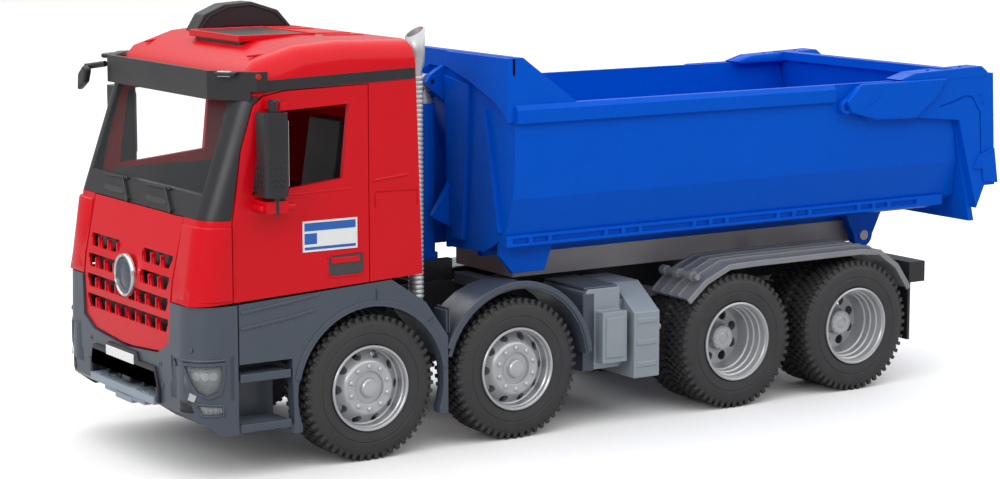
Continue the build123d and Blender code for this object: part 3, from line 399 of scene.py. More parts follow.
def copied(obj, shift=(0, 0, 0), half_turn_about=None, mirror_x=False):
    """A copy with its own mesh, shifted, given a half turn about a vertical line, or mirrored left to right."""
    only(obj)
    bpy.ops.object.duplicate()
    made = bpy.context.active_object
    made.parent = None
    for key in list(made.keys()):
        del made[key]
    made.location = Vector(shift) * MM
    if half_turn_about is not None:
        x, y = half_turn_about
        made.rotation_euler = (0, 0, pi)
        made.location = Vector((2 * x, 2 * y, 0)) * MM + Vector(shift) * MM
    if mirror_x:
        made.scale = (-1, 1, 1)
    settle(made)
    if mirror_x:
        edit_all(made)
        bpy.ops.mesh.flip_normals()
        edit_done()
    return made


def cut(obj, tools):
    """Cuts tools out of an object and removes them."""
    tool = joined(tools)
    modified(obj, "BOOLEAN", operation="DIFFERENCE", object=tool, solver="EXACT")
    bpy.data.objects.remove(tool)
    return obj


def solid_copy(node):
    """A clean copy of a CAD part: triangles merged and flat faces made whole."""
    made = copied(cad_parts[node])
    made.hide_render = False
    edit_all(made)
    bpy.ops.mesh.customdata_custom_splitnormals_clear()
    bpy.ops.mesh.remove_doubles(threshold=2 * SAME_POINT)
    bpy.ops.mesh.dissolve_limited(angle_limit=radians(1.5))
    edit_done()
    made.data.materials.clear()
    return made


def moulded(node, material, width=0.4, angle=30, body="chassis", cuts=()):
    """A CAD part with a mould's rounded edges, which stands for that part."""
    made = solid_copy(node)
    if cuts:
        cut(made, list(cuts))
    return finished(rounded(made, width, angle), "moulded_" + node, material, body, instead_of=node)


# %% [markdown]
# The CAD parts' own sizes place everything.  A few of them are read once here, in millimetres.


# %% Places from the CAD
def corner(node):
    """Lowest and highest corner of a CAD part in millimetres."""
    low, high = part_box(node)
    return low / MM, high / MM


tyre_low, tyre_high = corner("tyre_1_left")
TYRE_R = (tyre_high.z - tyre_low.z) / 2
AXLES = [sum(corner(f"tyre_{n}_left")[i].y for i in (0, 1)) / 2 for n in (1, 2, 3, 4)]
FRONT_OUT, FRONT_IN = tyre_high.x, tyre_low.x
REAR_IN, REAR_OUT = corner("tyre_3_left")[0].x, corner("tyre_3_left")[1].x
RIM_R = (corner("rim_1_left")[1].z - corner("rim_1_left")[0].z) / 2
A1 = AXLES[0]
HALF = corner("cab_shell")[1].x
REAR_Y = cad_high.y / MM


def behind(outline):
    """An outline (y, z) measured from the first axle, moved to its place."""
    return [(A1 + y, z) for y, z in outline]


print("axles", [round(a, 1) for a in AXLES], "tyre radius", round(TYRE_R, 2), "half cab", round(HALF, 1))

# %% [markdown]
# A toy tyre is a turned ring with a block tread.  The ring's profile is turned as on a lathe.  One tread block is
# modelled, tapered towards its top, and Spin copies it round; the rows are staggered so that the gaps zigzag.
# The shoulder blocks reach down the side wall, which gives the toothed edge of the side view.


# %% Tyres
GROOVE = 1.5
LUGS = 52
ROWS_ACROSS = 4
SHOULDER = 2.8
TWIN_GAP = 2.2
BLOCK_TAPER = (0.86, 0.72)


def tread_block(x, length, top, centre_y, turn, reach=GROOVE + 0.4, slant=0.0):
    """One tread block at the top of a wheel, turned by part of a pitch about the axle."""
    low, high = top - reach, top
    nothing()
    bpy.ops.mesh.primitive_cube_add(size=MM, location=((x[0] + x[1]) / 2 * MM, centre_y * MM,
                                                       (TYRE_R + (low + high) / 2) * MM),
                                    scale=(x[1] - x[0], length, high - low))
    block = settle(bpy.context.active_object)
    pick(block, "FACE", lambda face: face.normal.z > 0.9)
    middle = Vector(((x[0] + x[1]) / 2, centre_y, TYRE_R + high)) * MM
    bpy.ops.transform.resize(value=(*BLOCK_TAPER, 1), center_override=middle)
    if slant:
        bpy.ops.transform.translate(value=(slant * MM, 0, 0))
    bpy.ops.mesh.select_all(action="SELECT")
    bpy.ops.transform.rotate(value=turn, orient_axis="X",
                             center_override=Vector((0, centre_y, TYRE_R)) * MM)
    edit_done()
    return block


def tread_rows(inner, outer, rows, centre_y):
    """Blocks in rows across a tyre, staggered, with longer shoulder blocks at both edges."""
    pitch = 2 * pi / LUGS
    spacing = pitch * TYRE_R
    width = (outer - inner - 2 * SHOULDER) / rows
    blocks = []
    for row in range(rows):
        start = inner + SHOULDER + row * width
        blocks.append(tread_block((start + 0.35, start + width - 0.35), spacing * 0.72, TYRE_R - 0.05,
                                  centre_y, pitch * (0.5 * (row % 2) + 0.12 * row)))
    for edge, sign in ((inner, 1), (outer, -1)):
        ends = sorted((edge + sign * 0.55, edge + sign * 3.0))
        blocks.append(tread_block(ends, spacing * 0.56, TYRE_R - 0.15, centre_y, pitch * 0.25, 4.6,
                                  sign * 0.25))
    return ring_of(joined(blocks), LUGS, (0, centre_y, TYRE_R))


def tyre_profile(inner, outer):
    """A closed ring: bead, side wall with a scuff rib, shoulder and tread floor."""
    floor_r = TYRE_R - GROOVE
    half = [(outer - 2.4, RIM_R + 0.15), (outer - 0.9, RIM_R + 0.9), (outer - 0.25, RIM_R + 3.2),
            (outer, RIM_R + 5.4), (outer, RIM_R + 5.9), (outer - 0.3, RIM_R + 6.3), (outer, RIM_R + 6.7),
            (outer - 0.1, TYRE_R - 5.2), (outer - 0.7, TYRE_R - 3.4), (outer - 2.6, floor_r)]
    other = [(inner + outer - x, r) for x, r in half[::-1]]
    ring = half + other
    return ring + [ring[0]]


def build_tyre(spans, centre_y):
    """One tyre, or a twin where two spans across are given."""
    parts = []
    for inner, outer in spans:
        parts.append(turned(tyre_profile(inner, outer), (0, centre_y, TYRE_R), 96))
        parts.append(tread_rows(inner, outer, ROWS_ACROSS, centre_y))
    return joined(parts)


rear_middle = (REAR_IN + REAR_OUT) / 2
front_tyre = build_tyre([(FRONT_IN, FRONT_OUT)], AXLES[0])
rear_tyre = build_tyre([(REAR_IN, rear_middle - TWIN_GAP / 2), (rear_middle + TWIN_GAP / 2, REAR_OUT)],
                       AXLES[2])
print("front tyre faces", len(front_tyre.data.polygons), "rear tyre faces", len(rear_tyre.data.polygons))

# %% [markdown]
# The front wheel is a dished disc with ten hand holes, a flange with ten domed nuts and a hub cap.  The rear
# wheel is a deep stepped dish with eight round holes and a hub with a ring of small bolts.  Both are turned, and
# the holes are cut with a ring of pegs.


# %% Wheels
def peg_ring(count, radius, peg, x, centre_y, turn, flat=1.0):
    """A ring of round pegs along X, used to cut holes."""
    axle = Vector((0, centre_y, TYRE_R)) * MM
    nothing()
    bpy.ops.mesh.primitive_cylinder_add(vertices=20, radius=peg * MM, depth=(x[1] - x[0]) * MM,
                                        rotation=(0, pi / 2, 0),
                                        location=((x[0] + x[1]) / 2 * MM, centre_y * MM, TYRE_R * MM))
    made = settle(bpy.context.active_object)
    edit_all(made)
    bpy.ops.transform.resize(value=(1, flat, 1), center_override=axle)
    bpy.ops.transform.translate(value=(0, 0, radius * MM))
    bpy.ops.transform.rotate(value=turn, orient_axis="X", center_override=axle)
    edit_done()
    return ring_of(made, count, (0, centre_y, TYRE_R))


def nut_ring(count, radius, size, x, height, centre_y):
    """Domed nuts on a flange, copied round."""
    dome = turned([(x - 0.4, size), (x + height * 0.45, size), (x + height * 0.55, size * 0.82),
                   (x + height * 0.85, size * 0.62), (x + height, size * 0.2)],
                  (0, centre_y, TYRE_R + radius), 12, closed=False)
    return ring_of(dome, count, (0, centre_y, TYRE_R))


def inward(out, profile):
    """A profile given as (depth below a face, radius), placed from that face."""
    return [(out - depth, radius) for depth, radius in profile]


def build_front_wheel(centre_y):
    """A shallow dish with hand holes, a flange of nuts and a hub cap."""
    out, centre = FRONT_OUT, (0, centre_y, TYRE_R)
    lip = RIM_R + 0.35
    disc = turned(inward(out, [
        (9.3, 2.8), (3.6, 2.8), (3.6, 8.0), (2.2, 8.6), (2.0, 9.0), (2.0, 13.2), (2.6, 14.2), (3.4, 14.7),
        (7.6, 19.0), (7.2, 19.7), (3.0, 20.0), (2.4, 20.5), (0.4, 20.7), (-0.15, 21.1), (-0.15, lip - 0.3),
        (0.3, lip), (1.6, lip - 0.2), (1.9, RIM_R - 0.4), (22, RIM_R - 0.4), (22, RIM_R - 2.2),
        (9.8, RIM_R - 2.2), (9.8, 2.8), (9.3, 2.8)]), centre, 80)
    cut(disc, [peg_ring(10, 17.1, 2.1, (out - 14, out + 3), centre_y, pi / 10, 1.15)])
    cap = turned(inward(out, [(6.0, 7.0), (3.4, 7.0), (3.2, 5.4), (2.6, 5.0), (1.1, 4.7), (0.5, 4.2),
                              (0.3, 3.3), (0.1, 2.2), (0.05, 0.3)]), centre, 40, closed=False)
    return joined([smooth(disc), cap, nut_ring(10, 11.0, 1.3, out - 2.0, 1.6, centre_y)])


def build_rear_wheel(centre_y):
    """A deep stepped dish with round holes and a hub with small bolts."""
    out, centre = REAR_OUT, (0, centre_y, TYRE_R)
    lip = RIM_R + 0.2
    dish = turned(inward(out, [
        (21.5, 3.0), (19.8, 3.0), (19.8, 9.0), (20.6, 12.0), (20.4, 15.6), (18, 17.0), (13.5, 17.3),
        (12.9, 18.0), (9.4, 18.2), (8.9, 18.9), (5.4, 19.1), (4.9, 19.8), (1.4, 20.1), (0.8, 20.5),
        (0.1, 20.7), (-0.15, 21.2), (0.2, lip), (1.6, lip - 0.2), (1.9, RIM_R - 0.4), (38, RIM_R - 0.4),
        (38, RIM_R - 2.2), (22, RIM_R - 2.6), (21.5, 3.0)]), centre, 80)
    cut(dish, [peg_ring(8, 12.4, 2.75, (out - 30, out - 14), centre_y, pi / 8)])
    hub = turned(inward(out, [(20.6, 8.6), (19.4, 8.6), (18.6, 7.6), (13.6, 7.0), (13.0, 6.4), (12.7, 5.0),
                              (12.9, 3.4), (12.4, 2.6), (12.2, 0.3)]), centre, 40, closed=False)
    return joined([smooth(dish), hub, nut_ring(12, 5.7, 0.5, out - 13.1, 0.7, centre_y)])


front_wheel = build_front_wheel(AXLES[0])
rear_wheel = build_rear_wheel(AXLES[2])
for number, centre_y in enumerate(AXLES, 1):
    first, made_at = (front_tyre, AXLES[0]) if number < 3 else (rear_tyre, AXLES[2])
    wheel = front_wheel if number < 3 else rear_wheel
    for side in ("left", "right"):
        for word, original, finish in (("tyre", first, tyre_black), ("rim", wheel, silver)):
            turn = (0, made_at) if side == "right" else None
            piece = copied(original, (0, centre_y - made_at, 0), turn)
            finished(piece, f"moulded_{word}_{number}_{side}", finish, f"wheel_{number}_{side}",
                     instead_of=f"{word}_{number}_{side}")
for original in (front_tyre, rear_tyre, front_wheel, rear_wheel):
    bpy.data.objects.remove(original)

# %% [markdown]
# The big mouldings keep the CAD's shape.  What a real moulding has and a drawing lacks is a small radius on each
# edge, which catches a thin line of light.  A copy of each part is cleaned, its edges are rounded, and it stands
# for the CAD part.

# %% Mouldings that follow the CAD
PLAIN = {
    "windscreen_surround": (black, 0.3, 30), "sun_visor": (black, 0.4, 25), "mirror_left": (black, 0.6, 30),
    "mirror_right": (black, 0.6, 30), "air_intake": (black, 0.8, 15), "cab_steps": (slate, 0.3, 30),
    "front_fenders": (slate, 0.4, 30), "second_fenders": (slate, 0.4, 30),
    "rear_mudguards": (graphite, 0.3, 30),
    "side_tank": (tank_grey, 0.7, 30), "battery_box": (tank_grey, 0.8, 30), "subframe": (warm, 0.3, 30),
    "chassis_frame": (black, 0.3, 30), "rear_bar": (black, 0.4, 30), "front_step": (pale, 0.4, 30),
    "roof_hatch": (black, 0.5, 30), "seats": (cabin, 1.2, 20), "dashboard": (cabin, 0.5, 30)}
for node, (finish, width, angle) in PLAIN.items():
    moulded(node, finish, width, angle, node.replace("mirror", "door") if "mirror" in node else "chassis")
KEPT = {"cab_floor": cabin, "front_axles": black, "rear_axles": black, "tie_rod_1": black,
        "tie_rod_2": black, "ram_barrel": blue, "ram_stage_1": silver, "ram_stage_2": silver,
        "ram_stage_3": silver, "grille_backing": black, "windscreen": window}
KEPT.update({f"knuckle_{n}_{side}": black for n in (1, 2) for side in ("left", "right")})
for node, finish in KEPT.items():
    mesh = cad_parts[node].data
    mesh.materials.clear()
    mesh.materials.append(finish)
print("moulded", len(PLAIN), "kept", len(KEPT))

# %% [markdown]
# Small mouldings are bars, rods and bands that follow a line.  Each helper makes one of these where it belongs.


# %% Helpers for small mouldings
def rod(start, end, radius, steps=14, edge=0.25):
    """A round rod from one point to another."""
    a, b = Vector(start) * MM, Vector(end) * MM
    nothing()
    bpy.ops.mesh.primitive_cylinder_add(vertices=steps, radius=radius * MM, depth=(b - a).length,
                                        location=(a + b) / 2,
                                        rotation=(b - a).to_track_quat("Z", "Y").to_euler())
    made = settle(bpy.context.active_object)
    return rounded(made, min(radius * 0.4, edge), 40) if edge else made


def bar(start, end, width, depth, edge=0.2):
    """A square bar from one point to another."""
    a, b = Vector(start) * MM, Vector(end) * MM
    nothing()
    bpy.ops.mesh.primitive_cube_add(size=1, location=(a + b) / 2,
                                    scale=(width * MM, depth * MM, (b - a).length),
                                    rotation=(b - a).to_track_quat("Z", "Y").to_euler())
    return rounded(settle(bpy.context.active_object), edge)


def ribbon(points, width, axis, low, high, edge=0.2):
    """A band of even width along a bent line."""
    sides = ([], [])
    for i, point in enumerate(points):
        before, after = points[max(i - 1, 0)], points[min(i + 1, len(points) - 1)]
        run = Vector((after[0] - before[0], after[1] - before[1])).normalized()
        for side, sign in zip(sides, (1, -1)):
            side.append((point[0] - sign * run.y * width / 2, point[1] + sign * run.x * width / 2))
    return plate(sides[0] + sides[1][::-1], axis, low, high, edge)


def arc(centre_y, radius, start, end, steps=24):
    """Points (y, z) on an arc round an axle, in degrees above the rear horizontal."""
    turns = [radians(start + (end - start) * i / steps) for i in range(steps + 1)]
    return [(centre_y + radius * cos(a), TYRE_R + radius * sin(a)) for a in turns]


def both(obj):
    """An object and its mirror copy as one."""
    return joined([obj, copied(obj, mirror_x=True)])


def kept_inside(obj, tool):
    """Keeps the part of an object that lies inside a tool."""
    modified(obj, "BOOLEAN", operation="INTERSECT", object=tool, solver="EXACT")
    bpy.data.objects.remove(tool)
    return obj


def bolt(centre, radius, axis="Y", side=-1):
    """A small pan head bolt with a socket, standing out along an axis."""
    return turned([(0, radius), (side * 0.35, radius), (side * 0.6, radius * 0.8),
                   (side * 0.62, radius * 0.45), (side * 0.25, radius * 0.4), (side * 0.25, 0.1)],
                  centre, 12, axis, closed=False)


# %% [markdown]
# The hood is one red shield.  Four rows of openings run across it: each is a dark slot with a row of tapered
# cells below it, and small upright ribs stand between the cells.  The shield is a bent slab kept inside its front
# outline; slots and cells are cut in two passes, so that no two tools overlap in one cut.  No rib stands
# behind the badge.

# %% Hood, grille and badge
HOOD_LINE = [(58.5, -98.5), (88, -98.5), (98, -97.5), (129.1, -91)]
ROWS = ((103, 14.5, 3), (92.5, 15.5, 3), (82, 0, 4), (71.5, 0, 4))
ROW_END = 47.8
BADGE_ROW = 82
HOOD_THICK = 1.7
THROUGH = (A1 - 110, A1 - 85)
SLOT_LOW, SLOT_HIGH = 4.0, 6.6


def hood_y(z):
    """Where the hood's front face is at a height."""
    for (low, a), (high, b) in zip(HOOD_LINE, HOOD_LINE[1:]):
        if z <= high:
            return A1 + a + (b - a) * (z - low) / (high - low)
    return A1 + HOOD_LINE[-1][1]


front_face = [(hood_y(z), z) for z, _ in HOOD_LINE]
back_face = [(hood_y(z) + HOOD_THICK, z) for z, _ in HOOD_LINE[::-1]]
hood = plate(front_face + back_face, "X", -52, 52, 0)
kept_inside(hood, plate([(-52, 131), (52, 131), (50, 67), (38, 61), (0, 58), (-38, 61), (-50, 67)],
                        "Y", A1 - 110, A1 - 80, 0))
slots, cells, teeth = [], [], []
for low, inner, count in ROWS:
    pitch = (ROW_END - inner) / count
    if not inner:
        slots.append(box((-ROW_END, ROW_END), THROUGH, (low + SLOT_LOW, low + SLOT_HIGH), 0))
    for side in (1, -1):
        if inner:
            slots.append(box(sorted((side * inner, side * ROW_END)), THROUGH,
                             (low + SLOT_LOW, low + SLOT_HIGH), 0))
        for bay in range(count):
            x = inner + bay * pitch
            cell = [(side * (x + 0.5), low + 4.2), (side * (x + pitch - 0.5), low + 4.2),
                    (side * (x + pitch - 2.6), low), (side * (x + 2.6), low)]
            cells.append(plate(cell, "Y", *THROUGH, 0))
            if low == BADGE_ROW and x == 0:
                continue
            face = hood_y(low + 3)
            tooth = [(side * (x - 0.5), low + 5.8), (side * (x + 0.7), low + 5.2),
                     (side * (x + 0.9), low + 0.2), (side * (x - 0.7), low + 0.2)]
            teeth.append(plate(tooth, "Y", face - 0.8, face + HOOD_THICK, 0.2))
cut(hood, slots)
cut(hood, cells)
rounded(hood, 0.35, 30)
hood = joined([hood] + teeth)
finished(hood, "moulded_front_panel", red, instead_of="front_panel")
finished(box((-50, 50), (A1 - 92.9, A1 - 92.1), (66, 113), 0.2), "grille_shade", black)
badge_at = (0, A1 - 98.6, 94)
finished(turned([(0.2, 9.2), (-1.3, 9.4), (-1.9, 10.1), (-1.7, 10.8), (-0.8, 11.2), (0.6, 11.2), (0.6, 9.2),
                 (0.2, 9.2)], badge_at, 64, "Y"), "badge_ring", chrome)
finished(turned([(0.6, 9.35), (0.0, 9.3), (-0.3, 8.2), (0.1, 7.0), (-0.5, 4.5), (-0.9, 2.2), (-1.0, 0.2)],
                badge_at, 48, "Y", closed=False), "badge_dish", slate)
print("cells", len(cells), "teeth", len(teeth))

# %% [markdown]
# The bumper wraps the front corners.  A lamp sits on each corner, so its bezel, bowl and clear cover are bands
# of a cylinder about the corner's own axis, each trimmed by an outline seen along the corner's diagonal.

# %% Bumper, lamps and guard
CORNER_R = 16.0
CORNER_X, CORNER_Y = HALF - CORNER_R, A1 - 99.75 + CORNER_R


def on_corner(radius, angle, centre=(CORNER_X, CORNER_Y)):
    """The point at an angle, in radians from straight ahead, round a front corner."""
    return centre[0] + radius * sin(angle), centre[1] - radius * cos(angle)


def corner_line(radius, start_x, end_y, centre=(CORNER_X, CORNER_Y), back=0.0):
    """A line that runs along the front, round the left corner and back along the side."""
    bend = [on_corner(radius, radians(a), centre) for a in range(0, 91, 6)]
    return [(start_x, centre[1] - radius + back)] + bend + [(centre[0] + radius, end_y)]


def corner_band(inner, outer, low, high, start_x=52):
    """A band round the left front corner between two radii."""
    lines = [corner_line(radius, start_x, CORNER_Y + 6) for radius in (outer, inner)]
    return plate(lines[0] + lines[1][::-1], "Z", low, high, 0)


def diagonal_tool(outline):
    """A prism whose outline is seen along the corner's diagonal: (across, z)."""
    tool = plate(outline, "Y", -30, -4, 0)
    tool.rotation_euler = (0, 0, pi / 4)
    tool.location = (CORNER_X * MM, CORNER_Y * MM, 0)
    return settle(tool)


def grown(outline, by):
    """An outline pushed outwards from its middle, corner by corner."""
    cx = sum(p[0] for p in outline) / len(outline)
    cz = sum(p[1] for p in outline) / len(outline)
    return [(x + by * (1 if x > cx else -1), z + by * (1 if z > cz else -1)) for x, z in outline]


LENS = [(-7.4, 58.6), (11.0, 58.9), (11.2, 51.5), (9.3, 46.0), (4.2, 43.8), (-0.5, 46.2), (-3.6, 50.6)]
STRIP = [(-0.6, 39.6), (10.8, 38.4), (11.2, 34.2), (2.0, 34.4)]
bumper = solid_copy("bumper")
cut(bumper, [both(joined([diagonal_tool(LENS), diagonal_tool(STRIP)]))])
rounded(bumper, 0.5, 28)
fill = corner_band(14.6, 16.02, 40.8, 62.8, 52.6)
cut(fill, [diagonal_tool(LENS)])
bezel = kept_inside(corner_band(14.0, 16.75, 38, 66), diagonal_tool(grown(LENS, 1.5)))
cut(bezel, [diagonal_tool(LENS)])
rounded(bezel, 0.25, 30)
line_bezel = kept_inside(corner_band(15.0, 16.4, 38, 66), diagonal_tool(
    [(-16.6, 61.6), (12.2, 61.9), (12.2, 60.6), (-14.6, 60.4), (-12.6, 57.4), (-13.6, 57.0)]))
strip_rim = kept_inside(corner_band(15.0, 16.5, 30, 44), diagonal_tool(grown(STRIP, 0.8)))
cut(strip_rim, [diagonal_tool(STRIP)])
bumper = joined([bumper, both(joined([fill, bezel, line_bezel, strip_rim]))])
for place, size in (((41.4, A1 - 99.7, 55.4), 1.5), ((43, A1 - 99.7, 44.5), 1.5),
                    ((70.5, A1 - 97.2, 66.4), 1.4)):
    bumper = joined([bumper, both(bolt(place, size))])
finished(bumper, "moulded_bumper", slate, instead_of="bumper")
bowl = kept_inside(corner_band(12.2, 12.8, 40, 64), diagonal_tool(grown(LENS, -0.1)))
turns = [pi / 4 + sin(across / 13.0) for across in (-2.0, 2.5, 7.0)]
facets = [rod((*on_corner(12.3, turn), 53), (*on_corner(13.6, turn), 53), 2.4, 24, 0.6) for turn in turns]
finished(both(bowl), "headlamp_bowl", graphite)
finished(both(joined(facets)), "headlamp_reflectors", silver)
cover = kept_inside(corner_band(15.1, 16.0, 40, 64), diagonal_tool(grown(LENS, -0.15)))
strip_cover = kept_inside(corner_band(15.2, 16.1, 30, 44), diagonal_tool(grown(STRIP, -0.1)))
ribs = [rod((*on_corner(15.6, radians(a)), 35.2), (*on_corner(15.6, radians(a)), 38.0), 0.9)
        for a in (58, 67, 76, 85)]
finished(both(joined([cover, strip_cover] + ribs)), "headlamp_covers", lens, instead_of="headlights")
strip_back = kept_inside(corner_band(13.2, 13.8, 30, 44), diagonal_tool(STRIP))
square = kept_inside(corner_band(15.5, 17.0, 38, 48),
                     diagonal_tool([(-4.4, 45.4), (-0.6, 44.2), (-2.0, 41.0), (-5.6, 41.9)]))
finished(both(joined([strip_back, rounded(square, 0.3)])), "lower_lamp_reflector", silver)
dark = kept_inside(corner_band(15.2, 16.12, 30, 44),
                   diagonal_tool([(-11.0, 41.0), (-5.2, 41.2), (-2.6, 35.4), (-11.0, 35.0)]))
opening = [(39.5, 35.2), (39.5, 43), (36.5, 51.5), (-36.5, 51.5), (-39.5, 43), (-39.5, 35.2)]
guard = ribbon(opening, 3.2, "Y", A1 - 101.6, A1 - 97.5, 0.8)
carrier = plate([(-21, 49.5), (-19, 57), (16, 57), (20, 49.5)], "Y", A1 - 101.5, A1 - 98, 0.5)
back = [box((-37.5, 37.5), (A1 - 92, A1 - 90.5), (36, 52), 0.2)]
back += [box((x - 1.2, x + 1.2), (A1 - 97, A1 - 92), (38, 51), 0.4) for x in (-28, -14, 14, 28)]
tow = box((-5, 5), (A1 - 100, A1 - 92), (39.5, 44), 0.8)
finished(joined([both(dark), guard, carrier, tow] + back), "front_guard", black)
finished(box((-19, 14), (A1 - 102.1, A1 - 101.4), (50.4, 55.4), 0.3), "blank_front_plate", label_white)
treads = [box((x, x + 1.1), (A1 - 102, A1 - 92), (37.6, 38.7), 0.3)
          for start in (-34, 10, 24) for x in (start, start + 2.6, start + 5.2)]
lower = [box((-24, 24), (A1 - 101, A1 - 94), (31, 34.2), 0.6),
         box((-10, 10), (A1 - 101.5, A1 - 94), (29.5, 33), 0.6)]
finished(joined(treads + lower), "front_step_treads", pale)
print("bumper faces", len(bumper.data.polygons))

# %% [markdown]
# The cab's sides carry thin things: a dark line above the door, a door handle, a sticker and a few creases.  The
# handle's recess is not a hollow but a flat dark grey plate, which paints its shade.
# Raised lines stand about half a millimetre proud, which is how a toy shows a panel joint.

# %% Cab sides, doors and roof
GROOVE_LINE = behind([(2.4, 130), (2.4, 137.8), (27, 137.2), (27, 130)])
grooves = [ribbon(GROOVE_LINE, 0.7, "X", *sorted((side * (HALF - 0.5), side * (HALF + 2))), 0)
           for side in (1, -1)]
moulded("cab_shell", red, 0.5, cuts=grooves)
crease = rod((HALF - 0.35, A1 + 1, 143.5), (HALF - 0.35, A1 + 22, 145.5), 0.9, 12)
CAB_CORNER = (HALF - 13.0, A1 - 97.6 + 13.0)
outer, inner = (corner_line(radius, 53.5, A1 - 78.2, CAB_CORNER, 0.4) for radius in (14.2, 11.2))
deflector = plate(outer + inner[::-1], "Z", 90, 126.5, 0)
# its upper front edge leans back
pick(deflector, "VERT", lambda vertex: vertex.co.z > 120 * MM and vertex.co.y < (A1 - 80) * MM)
bpy.ops.transform.translate(value=(0, 5.6 * MM, 0))
edit_done()
rounded(deflector, 0.9, 40, 3)
finished(both(crease), "cab_side_crease", red)
finished(both(deflector), "cab_corner_deflectors", red)
stripe = plate(behind([(-59.5, 190.6), (-59.5, 196.6), (26, 199.2), (26, 193.6), (-46, 191.6)]),
               "X", HALF - 0.6, HALF + 0.35, 0.2)
finished(both(stripe), "roof_side_stripe", black)
roof_lines = [bar((58, A1 - 58, 207), (70, A1 - 20, 210.5), 1.2, 1.0, 0.3)]
roof_ridges = [bar((x, A1 - 2, 213.7), (x, A1 + 22, 213.0), 2.0, 1.2, 0.4) for x in (20, 34)]
hatch_frame = ribbon([(-27.5, A1 - 46.2), (27.5, A1 - 46.2), (27.5, A1 - 3.8), (-27.5, A1 - 3.8),
                      (-27.5, A1 - 46.2)], 2.2, "Z", 211.5, 214.9, 0.5)
finished(joined([both(joined(roof_lines + roof_ridges)), hatch_frame]), "roof_frame_and_ridges", red)
finished(box((-25.2, 25.2), (A1 - 44.2, A1 - 5.8), (211.8, 214.4), 0.9), "roof_hatch_lid", black)


def side_box(x, y, z, edge=0.25):
    """A block whose x is measured from the cab's side and whose y is measured from the first axle."""
    return box([HALF + v for v in x], [A1 + v for v in y], z, edge)


def side_plate(outline, x, edge, width=None):
    """A plate, or a ribbon of a width, flat against the cab's side and measured as a side box is."""
    low, high = (HALF + v for v in x)
    if width:
        return ribbon(behind(outline), width, "X", low, high, edge)
    return plate(behind(outline), "X", low, high, edge)


def door_piece(parts, name, word, material):
    """A piece that swings with a door; it is modelled on the left and mirrored for the right."""
    piece = joined(parts)
    if word == "right":
        left_piece = piece
        piece = copied(left_piece, mirror_x=True)
        bpy.data.objects.remove(left_piece)
    return finished(piece, f"{name}_{word}", material, f"door_{word}")


for word in ("left", "right"):
    moulded(f"door_{word}", red, 0.4, body=f"door_{word}")
    # a flat dark grey plate inside the handle's rim: painted shade that stands for the hollow of the recess
    dish = side_plate([(-24.5, 99.2), (-22.8, 97.6), (-6.4, 97.6), (-4.9, 99.2), (-4.9, 106.6),
                         (-6.4, 108), (-23, 107.4), (-24.5, 105.8)], (-0.5, 0.3), 0.2)
    door_piece([dish], "handle_recess_painted_shade", word, cabin)
    rim = side_plate([(-24.9, 99), (-23, 97), (-6.2, 97), (-4.4, 99), (-4.4, 107), (-6.2, 108.6),
                         (-23.2, 108), (-24.9, 106)], (-0.4, 0.55), 0.25, 0.9)
    door_piece([rim, side_box((0, 0.9), (-23, -7), (103.6, 106.6), 0.5),
                bar((HALF - 0.2, A1 - 66, 139.6), (HALF - 0.2, A1 - 10, 140.6), 0.9, 0.9, 0.3),
                side_box((-1, 10), (-67, -47), (133.5, 137.2), 1.4)],
               "handle_and_ledge", word, red)
    door_piece([side_box((-0.3, 0.12), (-39, -8), (110.6, 126), 0)], "sticker", word,
               label_white)
    door_piece([box((HALF - 0.3, HALF + 0.2), (A1 - 38, A1 + end), z, 0)
                for end, z in ((-9, (121, 125)), (-9, (111.6, 113)), (-31, (114.4, 119.8)))],
               "sticker_print", word, label_blue)
    levels = [(146 + 3 * j, 147.7 + 3 * j) for j in range(4)]
    grid = [box((HALF + 4 + 3 * i, HALF + 5.7 + 3 * i), (A1 - 66.6, A1 - 65.8), z, 0.3)
            for i in range(3) for z in levels]
    grid += [box((HALF + 14, HALF + 14.9), (A1 - 64 + 3 * i, A1 - 62.3 + 3 * i), z, 0.3)
             for i in range(3) for z in levels]
    grid.append(rod((HALF + 10.5, A1 - 59, 132.5), (HALF + 10.5, A1 - 59, 141.5), 1.8))
    grid.append(side_box((6, 12), (-61, -56), (181, 188), 0.8))
    door_piece(grid, "mirror_grid_and_stems", word, black)
    door_piece([side_box((3, 13), (-53.2, -52.9), (146, 178), 0.1)], "mirror_glass", word,
               chrome)
    trim = [side_box((-3.7, -3.0), (-70, -5), (99, 139.5), 0.3),
            side_box((-5.0, -3.4), (-50, -12), (118, 122), 0.6)]
    door_piece(trim, "door_trim", word, cabin)
finished(box((-HALF + 3.6, HALF - 3.6), (A1 + 25.6, A1 + 26.2), (98, 196), 0.2), "cab_rear_lining", cabin)
print("doors done")

# %% [markdown]
# The lower body is slate plastic with raised lips round the wheel arches.  The arch lips are bands that follow an
# arc about the axle.  The steps carry ridges, and the panel between them has two long ridges.

